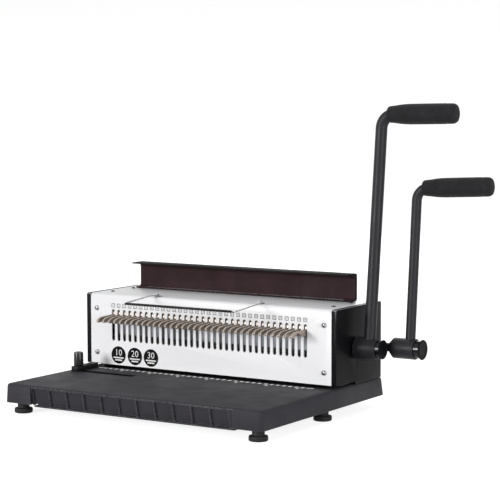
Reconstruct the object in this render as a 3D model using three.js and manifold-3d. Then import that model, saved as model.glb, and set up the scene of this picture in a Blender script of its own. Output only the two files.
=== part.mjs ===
// Desk-top punching and closing machine for 3:1 wire and coil, with one lever to punch and one to close.
// Millimetres. X runs right along the row of holes, Y back from the front panel's face, Z up from the table.
import * as THREE from 'three';
import { mergeVertices } from 'three/addons/utils/BufferGeometryUtils.js';
import Module from 'manifold-3d';

const wasm = await Module();
wasm.setup();

// Driving dimensions
const holePitch = 25.4 / 3;
const holeCount = 34;
const panelWidth = 349.4;
const panelHeight = 89;
const housingDepth = 111;
const coverWidth = 6.3;
const sheet = 1.5;
const throatGap = 4.2;
const throatDepth = 24;
const baseHalfWidth = 180.5;
const baseFront = 162;
const baseRear = 122;
const baseHeight = 23;
const discHeight = 6;
const neckHeight = 7.4;
const shaftRise = 40.1;
const punchShaftBack = 46;
const bindingShaftBack = 68.8;
const punchShaftRadius = 6;
const bindingShaftRadius = 5;
const punchLean = THREE.MathUtils.degToRad(6.2);
const bindingLean = THREE.MathUtils.degToRad(5);
const punchPinionTeeth = 10;
const punchModule = 1.6;
const closerPinionTeeth = 16;
const closerModule = 1.5;
const frameThickness = 5;
const frameGap = 2;

// Clearances and allowances that all pieces share
const fit = 0.3;
const overrun = 5;
const weld = 0.5;
const samePoint = 1e-4;

// Levels and planes that several pieces share
const footHeight = discHeight + neckHeight;
const baseTop = footHeight + baseHeight;
const panelBottom = baseTop + throatGap;
const panelTop = panelBottom + panelHeight;
const panelHalf = panelWidth / 2;
const coverInner = panelHalf + fit;
const coverOuter = coverInner + coverWidth;
const frameOuter = panelHalf - frameGap;
const frameInner = frameOuter - frameThickness;
const shaftHeight = panelBottom + shaftRise;
const topInside = panelTop - sheet;
const rowHalf = (holeCount - 1) * holePitch / 2;
const roundSides = 16;
const smallSides = 10;

const materials = {
  charcoal: new THREE.MeshStandardMaterial({ color: 0x46444b, roughness: 0.6, metalness: 0.1 }),
  blackSheet: new THREE.MeshStandardMaterial({ color: 0x242326, roughness: 0.5, metalness: 0.2 }),
  whiteSheet: new THREE.MeshStandardMaterial({ color: 0xe9e9ec, roughness: 0.45, metalness: 0.1 }),
  leverPaint: new THREE.MeshStandardMaterial({ color: 0x3c3b40, roughness: 0.5, metalness: 0.3 }),
  gripRubber: new THREE.MeshStandardMaterial({ color: 0x353437, roughness: 0.85, metalness: 0 }),
  footRubber: new THREE.MeshStandardMaterial({ color: 0x1f1f20, roughness: 0.8, metalness: 0 }),
  toolSteel: new THREE.MeshStandardMaterial({ color: 0x8e8f92, roughness: 0.35, metalness: 1 }),
  hookMetal: new THREE.MeshStandardMaterial({ color: 0xb7aca2, roughness: 0.4, metalness: 0.8 }),
  chrome: new THREE.MeshStandardMaterial({ color: 0xd6d6d8, roughness: 0.15, metalness: 1 }),
  knobPlastic: new THREE.MeshStandardMaterial({ color: 0x2b2b2d, roughness: 0.5, metalness: 0 }),
};

// Joining and cutting of closed meshes
function toSolid(geometry) {
  const bare = geometry.clone();
  bare.deleteAttribute('normal');
  bare.deleteAttribute('uv');
  const merged = mergeVertices(bare, samePoint);
  const vertProperties = new Float32Array(merged.attributes.position.array);
  const triVerts = new Uint32Array(merged.index.array);
  return new wasm.Manifold(new wasm.Mesh({ numProp: 3, vertProperties, triVerts }));
}

function toGeometry(body) {
  const mesh = body.getMesh();
  const geometry = new THREE.BufferGeometry();
  geometry.setAttribute('position', new THREE.BufferAttribute(new Float32Array(mesh.vertProperties), 3));
  geometry.setIndex(new THREE.BufferAttribute(new Uint32Array(mesh.triVerts), 1));
  geometry.computeVertexNormals();
  return geometry;
}

function join(parts) {
  return parts.reduce((whole, part) => whole.add(part));
}

function cut(body, tools) {
  return tools.reduce((rest, tool) => rest.subtract(tool), body);
}

function mirrored(body) {
  return body.mirror([1, 0, 0]);
}

// A block between two corners
function block(x0, x1, y0, y1, z0, z1) {
  const box = new THREE.BoxGeometry(x1 - x0, y1 - y0, z1 - z0);
  box.translate((x0 + x1) / 2, (y0 + y1) / 2, (z0 + z1) / 2);
  return toSolid(box);
}

function barX(radius, x0, x1, y, z, sides = roundSides) {
  const bar = new THREE.CylinderGeometry(radius, radius, x1 - x0, sides);
  bar.rotateZ(-Math.PI / 2);
  bar.translate((x0 + x1) / 2, y, z);
  return toSolid(bar);
}

function barY(radius, x, y0, y1, z, sides = roundSides) {
  const bar = new THREE.CylinderGeometry(radius, radius, y1 - y0, sides);
  bar.translate(x, (y0 + y1) / 2, z);
  return toSolid(bar);
}

function barZ(radius, x, y, z0, z1, sides = roundSides) {
  const bar = new THREE.CylinderGeometry(radius, radius, z1 - z0, sides);
  bar.rotateX(Math.PI / 2);
  bar.translate(x, y, (z0 + z1) / 2);
  return toSolid(bar);
}

// An outline of (y, z) points drawn out along X
function drawAlongX(points, x0, x1) {
  const shape = new THREE.Shape(points.map(([y, z]) => new THREE.Vector2(y, z)));
  const body = new THREE.ExtrudeGeometry(shape, { depth: x1 - x0, bevelEnabled: false });
  body.applyMatrix4(new THREE.Matrix4().set(0, 0, 1, x0, 1, 0, 0, 0, 0, 1, 0, 0, 0, 0, 0, 1));
  return toSolid(body);
}

// A profile of (radius, along) points turned about the X axis
function turnAboutX(profile, sides = roundSides) {
  const body = new THREE.LatheGeometry(profile.map(([r, x]) => new THREE.Vector2(r, x)), sides);
  body.rotateZ(-Math.PI / 2);
  return toSolid(body);
}

// A profile of (radius, height) points turned about the Z axis
function turnAboutZ(profile, sides = roundSides) {
  const body = new THREE.LatheGeometry(profile.map(([r, z]) => new THREE.Vector2(r, z)), sides);
  body.rotateX(Math.PI / 2);
  return toSolid(body);
}

// A rectangle in plan with rounded corners, as (x, y) points
function roundedPlan(x0, x1, y0, y1, radius, steps) {
  const corners = [[x1 - radius, y0 + radius, -90], [x1 - radius, y1 - radius, 0],
    [x0 + radius, y1 - radius, 90], [x0 + radius, y0 + radius, 180]];
  const points = [];
  for (const [cx, cy, start] of corners) {
    for (let i = 0; i <= steps; i += 1) {
      const turn = THREE.MathUtils.degToRad(start + 90 * i / steps);
      points.push([cx + radius * Math.cos(turn), cy + radius * Math.sin(turn)]);
    }
  }
  return points;
}

// Walls between rings of points, as triangles of an index
function ringWalls(index, rings, count) {
  for (let k = 0; k < rings - 1; k += 1) {
    for (let i = 0; i < count; i += 1) {
      const a = k * count + i;
      const b = k * count + (i + 1) % count;
      index.push(a, b, b + count, a, b + count, a + count);
    }
  }
}

// A skin through rings of (x, y) points at rising heights, closed at both ends
function loft(rings) {
  const count = rings[0].points.length;
  const position = rings.flatMap((ring) => ring.points.flatMap(([x, y]) => [x, y, ring.z]));
  const index = [];
  ringWalls(index, rings.length, count);
  const flat = rings[0].points.map(([x, y]) => new THREE.Vector2(x, y));
  const last = (rings.length - 1) * count;
  for (const [a, b, c] of THREE.ShapeUtils.triangulateShape(flat, [])) {
    index.push(a, c, b);
    index.push(last + a, last + b, last + c);
  }
  const geometry = new THREE.BufferGeometry();
  geometry.setAttribute('position', new THREE.Float32BufferAttribute(position, 3));
  geometry.setIndex(index);
  return toSolid(geometry);
}

// A round bar along points that lie in one plane across Y
function sweepRound(points, radius, sides) {
  const position = [];
  const across = new THREE.Vector3(0, 1, 0);
  points.forEach((point, i) => {
    const before = points[Math.max(i - 1, 0)];
    const after = points[Math.min(i + 1, points.length - 1)];
    const ahead = after.clone().sub(before).normalize();
    const side = new THREE.Vector3().crossVectors(across, ahead);
    for (let k = 0; k < sides; k += 1) {
      const turn = 2 * Math.PI * k / sides;
      const at = point.clone();
      at.addScaledVector(side, radius * Math.cos(turn));
      at.addScaledVector(across, radius * Math.sin(turn));
      position.push(at.x, at.y, at.z);
    }
  });
  const index = [];
  ringWalls(index, points.length, sides);
  const last = (points.length - 1) * sides;
  for (let k = 1; k < sides - 1; k += 1) {
    index.push(0, k + 1, k);
    index.push(last, last + k, last + k + 1);
  }
  const geometry = new THREE.BufferGeometry();
  geometry.setAttribute('position', new THREE.Float32BufferAttribute(position, 3));
  geometry.setIndex(index);
  return toSolid(geometry);
}

const machine = new THREE.Group();

function piece(name, body, material, parent = machine) {
  const mesh = new THREE.Mesh(toGeometry(body), material);
  mesh.name = name;
  parent.add(mesh);
  return mesh;
}

function sideName(name, side) {
  return side < 0 ? `${name}_left` : `${name}_right`;
}

function pinPlace(i) {
  return (i - (holeCount - 1) / 2) * holePitch;
}

// Places where the drives, the press and the closer meet
const dieFront = sheet + weld;
const dieBack = 44;
const guidePlateDepth = 6.5;
const upperDieHeight = 20;
const dieBottom = baseTop - guidePlateDepth;
const dieTop = panelBottom + upperDieHeight;
const dieHalf = frameInner - fit;
const beamFront = 9.5;
const beamDepth = 19;
const beamHeight = 20;
const beamLift = 17.8;
const beamHalf = 155;
const beamBack = beamFront + beamDepth;
const beamBottom = dieTop + beamLift;
const beamTop = beamBottom + beamHeight;
const pinSize = 4;
const pinBack = 17;
const postRadius = 4;
const postSide = 148.6;
const postBack = (beamFront + beamBack) / 2;
const addendumShare = 0.8;
const dedendumShare = 1.1;
const closerRadius = closerPinionTeeth * closerModule / 2;
const punchPitchRadius = punchPinionTeeth * punchModule / 2;
const pinionWidth = 8;
const closerPinionSide = 120;
const punchPinionSide = 135;
const channelBack = 91;
const channelWeb = 5;
const bladeGap = 0.8;
const bladeThickness = 6;
const bladeBack = channelBack - channelWeb - bladeGap;
const bladeFront = bladeBack - bladeThickness;
const closerSideGap = 21.2;
const closerHalf = frameInner - closerSideGap;
const windowGap = 0.7;

// Sizes of the drawer and of the edge guide that the tray makes room for
const wall = 3;
const drawerHalf = 142;
const drawerTopDrop = 2.4;
const drawerDepth = 215;
const drawerSetBack = 1.5;
const drawerSkin = 2;
const drawerSlip = 0.4;
const drawerTop = baseTop - drawerTopDrop;
const drawerFront = -baseFront + drawerSetBack;
const frontLean = 6.8;
const frontBack = drawerFront + frontLean + drawerSkin;
const drawerRear = drawerFront + drawerDepth;
const railWidth = 4.5;
const railThickness = 2;
const guideInset = 16.8;
const guideStart = guideInset - baseHalfWidth;
const guideTravel = 75;
const guideFromPanel = 40.7;
const guideSlotWidth = 5.6;
const guideSlotSpare = 5;
const studRadius = 2.5;
const clampHeight = 3;
const clampHalf = 7;

// Feet: rubber disc under a moulded neck
const footInset = 15;
const footFront = 145.6;
const footMiddle = 4;
const footRear = 100;
const footRearInset = 62.5;
const footRearHalf = baseHalfWidth - footRearInset;
const discRadius = 10.9;
const neckRadius = 7.1;
const discRounding = 1.1;
const footSides = 12;
const footSide = baseHalfWidth - footInset;
const footPlaces = [
  ['foot_front_left', -footSide, -footFront], ['foot_front_right', footSide, -footFront],
  ['foot_middle_left', -footSide, -footMiddle], ['foot_middle_right', footSide, -footMiddle],
  ['foot_rear_left', -footRearHalf, footRear], ['foot_rear_right', footRearHalf, footRear],
];
for (const [name, x, y] of footPlaces) {
  const foot = turnAboutZ([
    [0, 0], [discRadius - discRounding, 0], [discRadius, discRounding], [discRadius, discHeight - discRounding],
    [discRadius - discRounding, discHeight], [neckRadius, discHeight], [neckRadius, footHeight - fit],
    [0, footHeight - fit],
  ], footSides);
  piece(name, foot, materials.footRubber).position.set(x, y, 0);
}

// Base tray: hollow moulding with drafted sides and a rounded top edge
const cornerRadius = 5;
const sideDraft = 1;
const frontDraft = 0.4;
const rearDraft = 3;
const topRounding = 4;
const roundingSteps = 3;
const cornerSteps = 3;
const bossRadius = 12;
const bossSides = 8;
const ribHeight = 15;

// A ring of the tray's skin, inset evenly and leaned in by a share of the drafts
function baseRing(inset, lean, z, radius) {
  const half = baseHalfWidth - inset - lean * sideDraft;
  const front = -baseFront + inset + lean * frontDraft;
  const rear = baseRear - inset - lean * rearDraft;
  return { z, points: roundedPlan(-half, half, front, rear, radius, cornerSteps) };
}

function baseTray() {
  const rings = [baseRing(0, 0, footHeight, cornerRadius)];
  for (let i = 0; i <= roundingSteps; i += 1) {
    const turn = i * Math.PI / 2 / roundingSteps;
    const inward = topRounding * (1 - Math.cos(turn));
    rings.push(baseRing(inward, 1, baseTop - topRounding + topRounding * Math.sin(turn), cornerRadius - inward));
  }
  const outer = loft(rings);
  const cavityTop = baseTop - wall;
  const innerRadius = cornerRadius - wall;
  const cavity = loft([
    baseRing(wall, 0, footHeight - overrun, innerRadius),
    baseRing(wall, 0, footHeight, innerRadius),
    baseRing(wall, 1, cavityTop, innerRadius),
  ]);
  const ribTop = cavityTop + weld;
  const tunnelHalf = drawerHalf + drawerSlip;
  const tunnelOuter = tunnelHalf + wall;
  const tunnelFront = -baseFront + wall;
  const tunnelRear = drawerRear + drawerSlip;
  const openingRear = frontBack + drawerSlip;
  const right = [
    block(tunnelHalf, tunnelOuter, tunnelFront, tunnelRear + wall, footHeight, ribTop),
    block(tunnelHalf - railWidth, tunnelHalf + weld, openingRear, tunnelRear + weld, footHeight,
      footHeight + railThickness),
    block((tunnelHalf - wall) / 2, (tunnelHalf + wall) / 2, tunnelRear, baseRear - wall, ribTop - ribHeight, ribTop),
  ];
  const ribs = [
    ...right, ...right.map(mirrored),
    block(-tunnelOuter, tunnelOuter, tunnelRear, tunnelRear + wall, footHeight, ribTop),
    block(-wall / 2, wall / 2, tunnelRear, baseRear - wall, ribTop - ribHeight, ribTop),
  ];
  const bosses = footPlaces.map(([, x, y]) => barZ(bossRadius, x, y, footHeight, ribTop, bossSides));
  const inside = join([...ribs, ...bosses]).intersect(outer);
  const guideEnd = guideStart + guideTravel;
  const slotHalf = guideSlotWidth / 2;
  const pathHalf = clampHalf + fit;
  return cut(outer.subtract(cavity).add(inside), [
    block(-frameInner, frameInner, dieFront - fit, dieBack + fit, dieBottom - fit, baseTop + overrun),
    block(-tunnelHalf, tunnelHalf, -baseFront - overrun, openingRear, footHeight - overrun, drawerTop + drawerSlip),
    block(-tunnelHalf, tunnelHalf, tunnelFront, tunnelRear, footHeight + railThickness, cavityTop),
    block(guideStart - slotHalf, guideEnd + slotHalf + guideSlotSpare, -guideFromPanel - slotHalf,
      -guideFromPanel + slotHalf, cavityTop - overrun, baseTop + overrun),
    block(guideStart - pathHalf, guideEnd + pathHalf, -guideFromPanel - pathHalf, -guideFromPanel + pathHalf,
      cavityTop - clampHeight - 3 * fit, cavityTop),
  ]);
}
piece('base_tray', baseTray(), materials.charcoal);

// Chip drawer: pan behind a front that leans in towards its foot between thin upright ribs, with a pull lip
const lipDrop = 2.1;
const lipInset = 5;
const lipOverhang = 1.5;
const lipLeft = drawerHalf - lipInset;
const lipRight = drawerHalf + lipOverhang;
const panDrop = 9.5;
const gripRibs = 12;
const gripRibWidth = 1.8;
const gripRibDepth = 2.7;
const gripBlockWidth = 6.3;
const gripRibFirst = gripRibWidth / 2 - drawerHalf;
const gripRibLast = drawerHalf - gripBlockWidth;
const bandHeight = 1.2;

function gripRibPlace(i) {
  return gripRibFirst + i * (gripRibLast - gripRibFirst) / (gripRibs - 1);
}

function chipDrawer() {
  const foot = footHeight + drawerSlip;
  const floor = footHeight + railThickness + fit;
  const bandFoot = drawerTop - bandHeight;
  const front = drawAlongX([
    [drawerFront, drawerTop], [drawerFront, bandFoot], [drawerFront + gripRibDepth, bandFoot],
    [drawerFront + frontLean, foot], [frontBack, foot], [frontBack, drawerTop],
  ], -drawerHalf, drawerHalf);
  const lipTop = footHeight - fit;
  const lip = [
    block(-lipLeft, lipRight, drawerFront, frontBack, footHeight - lipDrop, lipTop),
    block(-lipLeft, drawerHalf, drawerFront + frontLean, frontBack, lipTop - weld, foot + weld),
  ];
  const ribFoot = drawerFront + frontLean - gripRibDepth;
  const ribOutline = [
    [drawerFront, bandFoot + weld], [drawerFront, bandFoot], [ribFoot, foot], [ribFoot, lipTop - weld],
    [frontBack - weld, lipTop - weld], [frontBack - weld, bandFoot + weld],
  ];
  const ribs = [drawAlongX(ribOutline, gripRibPlace(gripRibs - 1), drawerHalf)];
  for (let i = 0; i < gripRibs; i += 1) {
    const x = gripRibPlace(i);
    ribs.push(drawAlongX(ribOutline, x - gripRibWidth / 2, x + gripRibWidth / 2));
  }
  const pan = block(-drawerHalf, drawerHalf, frontBack - weld, drawerRear, floor, baseTop - panDrop);
  const hollow = block(-drawerHalf + drawerSkin, drawerHalf - drawerSkin, frontBack, drawerRear - drawerSkin,
    floor + drawerSkin, baseTop);
  return join([front, ...lip, ...ribs, pan.subtract(hollow)]);
}
piece('chip_drawer', chipDrawer(), materials.charcoal);

// Housing shell: one sheet folded over front, top and back, with the row of slots and the closer's window
const bend = 4;
const bendSteps = 3;
const slotWidth = 4.6;
const slotHeight = 40;
const slotRise = 30.2;
const slotSteps = 3;
const lowerScrewRise = 14.5;
const upperScrewRise = 70.5;
const screwSide = 165;
const screwShank = 2;

function foldedPath(inset) {
  const radius = bend - inset;
  const top = panelTop - bend;
  const path = [[inset, panelBottom]];
  for (const [middle, start] of [[bend, Math.PI], [housingDepth - bend, Math.PI / 2]]) {
    for (let i = 0; i <= bendSteps; i += 1) {
      const turn = start - i * Math.PI / 2 / bendSteps;
      path.push([middle + radius * Math.cos(turn), top + radius * Math.sin(turn)]);
    }
  }
  path.push([housingDepth - inset, baseTop + fit]);
  return path;
}

function slotTool(x) {
  const radius = slotWidth / 2;
  const low = panelBottom + slotRise + radius;
  const high = panelBottom + slotRise + slotHeight - radius;
  const points = [];
  for (const [middle, start] of [[high, 0], [low, Math.PI]]) {
    for (let i = 0; i <= slotSteps; i += 1) {
      const turn = start + i * Math.PI / slotSteps;
      points.push(new THREE.Vector2(radius * Math.cos(turn), middle + radius * Math.sin(turn)));
    }
  }
  const tool = new THREE.ExtrudeGeometry(new THREE.Shape(points), { depth: sheet + 2 * overrun, bevelEnabled: false });
  tool.rotateX(Math.PI / 2);
  tool.translate(x, sheet + overrun, 0);
  return toSolid(tool);
}

function screwHole(x, rise, depth) {
  return barY(screwShank + fit, x, -overrun, depth, panelBottom + rise, smallSides);
}

function housingShell() {
  const sheetBody = drawAlongX([...foldedPath(0), ...foldedPath(sheet).reverse()], -panelHalf, panelHalf);
  const tools = [];
  for (let i = 0; i < holeCount; i += 1) tools.push(slotTool(pinPlace(i)));
  for (const x of [-screwSide, screwSide]) {
    tools.push(screwHole(x, lowerScrewRise, sheet + overrun), screwHole(x, upperScrewRise, sheet + overrun));
  }
  tools.push(block(-closerHalf - windowGap, closerHalf + windowGap, bladeFront - windowGap, bladeBack + windowGap,
    topInside - overrun, panelTop + overrun));
  return cut(sheetBody, tools);
}
piece('housing_shell', housingShell(), materials.whiteSheet);

// Side covers: folded pans that close the housing's ends
const coverNotch = 46;
const coverCorner = 2;
const shaftHoleGap = 3;
const chamferShare = 0.3;

function sideCover(side) {
  const low = baseTop + fit;
  const slant = coverCorner * chamferShare;
  const outline = [
    [0, low], [housingDepth, low], [housingDepth, panelTop - coverCorner], [housingDepth - slant, panelTop - slant],
    [housingDepth - coverCorner, panelTop], [coverCorner, panelTop], [slant, panelTop - slant],
    [0, panelTop - coverCorner],
  ];
  const tools = [
    block(coverInner - overrun, coverOuter - sheet, sheet, housingDepth - sheet, low - overrun, panelTop - sheet),
    block(coverInner - overrun, coverOuter + overrun, -overrun, coverNotch, low - overrun, panelBottom),
  ];
  if (side > 0) {
    tools.push(barX(punchShaftRadius + shaftHoleGap, coverInner, coverOuter + overrun, punchShaftBack, shaftHeight));
    tools.push(barX(bindingShaftRadius + shaftHoleGap, coverInner, coverOuter + overrun, bindingShaftBack,
      shaftHeight));
  }
  const cover = cut(drawAlongX(outline, coverInner, coverOuter), tools);
  return side > 0 ? cover : mirrored(cover);
}
piece('side_cover_left', sideCover(-1), materials.blackSheet);
piece('side_cover_right', sideCover(1), materials.blackSheet);

// Side frames: plates that carry both shafts, with flanges behind the panel and under the top
const frameFront = 4;
const frameBack = 107;
const frameChamfer = 12;
const flange = 2.5;
const flangeReach = 11;
const topFlangeReach = 14;
const bushWall = 3.2;
const flangeLift = 1;

function sideFrame(side) {
  const low = baseTop + fit;
  const top = topInside - fit;
  const flangeFront = sheet + fit;
  const plate = drawAlongX([
    [frameFront, low], [frameBack, low], [frameBack, top - frameChamfer], [frameBack - frameChamfer, top],
    [frameFront, top],
  ], frameInner, frameOuter);
  const front = block(frameInner - flangeReach, frameOuter, flangeFront, flangeFront + flange,
    dieTop + flangeLift, top - bend);
  const upper = block(frameInner - topFlangeReach, frameOuter, bend + sheet, bladeFront, top - flange, top);
  const bushGap = fit + bushWall + fit;
  const frame = cut(join([plate, front, upper]), [
    block(frameInner - overrun, frameOuter + overrun, frameFront - overrun, throatDepth, low - overrun,
      panelBottom + fit),
    barX(punchShaftRadius + bushGap, frameInner - overrun, frameOuter + overrun, punchShaftBack, shaftHeight),
    barX(bindingShaftRadius + bushGap, frameInner - overrun, frameOuter + overrun, bindingShaftBack, shaftHeight),
    screwHole(screwSide, upperScrewRise, frameFront + overrun),
  ]);
  return side > 0 ? frame : mirrored(frame);
}
piece('side_frame_left', sideFrame(-1), materials.blackSheet);
piece('side_frame_right', sideFrame(1), materials.blackSheet);

// Die block: paper throat between the die plate and the guide plate, with a square hole for every pin
const pinGap = 0.15;
const screwDepth = 12;
const postSeat = 8;
const postSides = 10;

function dieBlock() {
  const hole = pinSize / 2 + pinGap;
  const tools = [block(-dieHalf - overrun, dieHalf + overrun, dieFront - overrun, throatDepth, baseTop, panelBottom)];
  for (let i = 0; i < holeCount; i += 1) {
    const x = pinPlace(i);
    tools.push(block(x - hole, x + hole, pinBack - hole, pinBack + hole, dieBottom - overrun, dieTop + overrun));
  }
  for (const side of [-1, 1]) {
    tools.push(screwHole(side * screwSide, lowerScrewRise, screwDepth + fit));
    tools.push(barZ(postRadius + fit, side * postSide, postBack, dieTop - postSeat, dieTop + overrun, postSides));
  }
  return cut(block(-dieHalf, dieHalf, dieFront, dieBack, dieBottom, dieTop), tools);
}
piece('punch_die_block', dieBlock(), materials.toolSteel);

// Guide posts for the beam, and the springs around them that lift it
const springWire = 1.3;
const springTurns = 4.5;
const springGap = 0.6;
const springLow = dieTop + fit;
const springHigh = beamBottom - fit;
const springRadius = postRadius + springGap + springWire / 2;
const wireSides = 5;
const curlSteps = 7;

class SpringPath extends THREE.Curve {
  getPoint(t) {
    const turn = t * springTurns * 2 * Math.PI;
    const z = springLow + springWire / 2 + t * (springHigh - springLow - springWire);
    return new THREE.Vector3(springRadius * Math.cos(turn), springRadius * Math.sin(turn), z);
  }
}

function leastSpringGap(path, perTurn) {
  const points = path.getPoints(perTurn * springTurns);
  let least = Infinity;
  for (let i = 0; i < points.length; i += 1) {
    for (let j = i + Math.floor(perTurn / 2) + 1; j < points.length; j += 1) {
      least = Math.min(least, points[i].distanceTo(points[j]));
    }
  }
  return least - springWire;
}

function returnSpring() {
  const path = new SpringPath();
  const corners = [];
  for (let i = 0; i < wireSides; i += 1) {
    const turn = i * 2 * Math.PI / wireSides;
    corners.push(new THREE.Vector2(springWire / 2 * Math.cos(turn), springWire / 2 * Math.sin(turn)));
  }
  console.log('least gap between spring turns', leastSpringGap(path, 3 * curlSteps).toFixed(2), 'mm');
  const steps = Math.round(springTurns * curlSteps);
  return toSolid(new THREE.ExtrudeGeometry(new THREE.Shape(corners), { steps, extrudePath: path }));
}

const springBody = returnSpring();
for (const side of [-1, 1]) {
  const post = barZ(postRadius, side * postSide, postBack, dieTop - postSeat + fit, beamTop - wall, postSides);
  piece(sideName('guide_post', side), post, materials.toolSteel);
  piece(sideName('return_spring', side), springBody, materials.toolSteel).position.set(side * postSide, postBack, 0);
}

// Press beam that slides on the posts
function pressBeam() {
  const tools = [-postSide, postSide].map((x) => barZ(postRadius + fit, x, postBack, beamBottom - overrun,
    beamTop + overrun, postSides));
  return cut(block(-beamHalf, beamHalf, beamFront, beamBack, beamBottom, beamTop), tools);
}
piece('press_beam', pressBeam(), materials.toolSteel);

// Punch pins under their holder strip
const stripHeight = 4;
const stripWidth = 12;
const pinTipRise = 0.8;

function punchPins() {
  const top = beamBottom - fit;
  const half = rowHalf + pinSize / 2 + weld;
  const reach = stripWidth / 2;
  const parts = [block(-half, half, pinBack - reach, pinBack + reach, top - stripHeight, top)];
  for (let i = 0; i < holeCount; i += 1) {
    const x = pinPlace(i);
    parts.push(block(x - pinSize / 2, x + pinSize / 2, pinBack - pinSize / 2, pinBack + pinSize / 2,
      panelBottom + pinTipRise, top - stripHeight / 2));
  }
  return join(parts);
}
piece('punch_pin_row', punchPins(), materials.toolSteel);

// Hook plates that reach out through the slots, on the strip that carries them behind the panel
const hookThickness = 2.8;
const hookReach = 33.5;
const hookHeight = 11;
const hookRise = 53;
const hookStrip = 3;
const stripShare = 0.58;
const hookOutline_shares = [
  [0, 0], [-0.18, 0.03], [-0.36, 0.3], [-0.49, 0.6], [-0.6, 0.63], [-0.69, 0.47], [-0.75, 0.12], [-0.97, 0.13],
  [-0.95, 0.6], [-0.8, 0.9], [0, 1],
];

function hookComb() {
  const back = beamFront - fit;
  const root = back - hookStrip + weld;
  const low = panelBottom + hookRise;
  const outline = hookOutline_shares.map(([reach, rise]) => [reach * hookReach, low + rise * hookHeight]);
  outline.push([root, low + hookHeight], [root, low]);
  const half = rowHalf + hookThickness / 2;
  const parts = [block(-half, half, back - hookStrip, back, low, low + hookHeight * stripShare)];
  for (let i = 0; i < holeCount; i += 1) {
    const x = pinPlace(i);
    parts.push(drawAlongX(outline, x - hookThickness / 2, x + hookThickness / 2));
  }
  return join(parts);
}
piece('hook_comb', hookComb(), materials.hookMetal);

// Toothed wheels and racks: involute flanks thinned by the backlash, and racks with a gap level with the shaft
const pressureAngle = THREE.MathUtils.degToRad(20);
const backlash = 0.4;
const flankSteps = 1;

function involute(angle) {
  return Math.tan(angle) - angle;
}

function gearOutline(teeth, size, firstTooth) {
  const pitchRadius = teeth * size / 2;
  const baseRadius = pitchRadius * Math.cos(pressureAngle);
  const tip = pitchRadius + size * addendumShare;
  const root = pitchRadius - size * dedendumShare;
  const start = Math.max(root, baseRadius);
  const halfAtPitch = Math.PI / (2 * teeth) - backlash / (4 * pitchRadius);
  const flank = [];
  for (let k = 0; k <= flankSteps; k += 1) {
    const radius = start + (tip - start) * k / flankSteps;
    flank.push([radius, halfAtPitch + involute(pressureAngle) - involute(Math.acos(baseRadius / radius))]);
  }
  const low = flank.map(([radius, half]) => [radius, -half]);
  const ordered = [[root, -flank[0][1]], ...low, ...[...flank].reverse(), [root, flank[0][1]]];
  const points = [];
  for (let i = 0; i < teeth; i += 1) {
    const middle = firstTooth + i * 2 * Math.PI / teeth;
    for (const [radius, turn] of ordered) {
      points.push([radius * Math.cos(middle + turn), radius * Math.sin(middle + turn)]);
    }
  }
  return points;
}

function rackOutline(pitchPlane, way, size, backPlane, low, high) {
  const pitch = Math.PI * size;
  const tip = pitchPlane + way * size * addendumShare;
  const root = pitchPlane - way * size * dedendumShare;
  const slope = Math.tan(pressureAngle);
  const atTip = pitch / 4 - backlash / 4 - size * addendumShare * slope;
  const atRoot = pitch / 4 - backlash / 4 + size * dedendumShare * slope;
  const first = Math.floor((high - shaftHeight - atRoot) / pitch - 1 / 2);
  const last = Math.ceil((low - shaftHeight + atRoot) / pitch - 1 / 2);
  const points = [[root, low], [backPlane, low], [backPlane, high], [root, high]];
  for (let i = first; i >= last; i -= 1) {
    const middle = shaftHeight + (i + 1 / 2) * pitch;
    points.push([root, middle + atRoot], [tip, middle + atTip], [tip, middle - atTip], [root, middle - atRoot]);
  }
  return points;
}

// Press racks on the beam's back, driven by the teeth cut in the punch shaft
const rackFootDrop = 6;
const rackHeadRise = 20;

for (const side of [-1, 1]) {
  const x = side * punchPinionSide;
  const rack = drawAlongX(rackOutline(punchShaftBack - punchPitchRadius, 1, punchModule, beamBack + fit,
    beamBottom - rackFootDrop, shaftHeight + rackHeadRise), x - pinionWidth / 2, x + pinionWidth / 2);
  piece(sideName('press_rack', side), rack, materials.toolSteel);
}

// Punch shaft with its two cut pinions, and the plain binding shaft behind it
const punchDrive = new THREE.Group();
punchDrive.position.set(0, punchShaftBack, shaftHeight);
machine.add(punchDrive);
const bindingDrive = new THREE.Group();
bindingDrive.position.set(0, bindingShaftBack, shaftHeight);
machine.add(bindingDrive);
const hubWall = 6;
const shaftTail = 1;
const punchHubGap = 2.3;
const punchHubLength = 35;
const punchHubStart = coverOuter + punchHubGap;
const punchHubEnd = punchHubStart + punchHubLength;
const punchShaftEnd = punchHubEnd - hubWall;
const bindingHubGap = 34.15;
const bindingHubLength = 43.7;
const bindingHubStart = coverOuter + bindingHubGap;
const bindingHubEnd = bindingHubStart + bindingHubLength;
const bindingShaftEnd = bindingHubEnd - hubWall;

function punchShaft() {
  const parts = [barX(punchShaftRadius, -frameOuter - shaftTail, punchShaftEnd, 0, 0)];
  const teeth = gearOutline(punchPinionTeeth, punchModule, Math.PI);
  for (const x of [-punchPinionSide, punchPinionSide]) {
    parts.push(drawAlongX(teeth, x - pinionWidth / 2, x + pinionWidth / 2));
  }
  return join(parts);
}
piece('punch_shaft', punchShaft(), materials.toolSteel, punchDrive);
piece('binding_shaft', barX(bindingShaftRadius, -frameOuter - shaftTail, bindingShaftEnd, 0, 0),
  materials.toolSteel, bindingDrive);

const closerTeeth = gearOutline(closerPinionTeeth, closerModule, 0);
for (const side of [-1, 1]) {
  const x = side * closerPinionSide;
  const pinion = drawAlongX(closerTeeth, x - pinionWidth / 2, x + pinionWidth / 2)
    .subtract(barX(bindingShaftRadius + fit, x - pinionWidth, x + pinionWidth, 0, 0));
  piece(sideName('binding_pinion', side), pinion, materials.toolSteel, bindingDrive);
}

// Flanged bushes in the side frames and a set collar inside the left one, for each shaft
const bushFlange = 1.5;
const bushFlangeThickness = 1.4;
const collarLength = 6;
const collarWall = 3.7;

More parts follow.
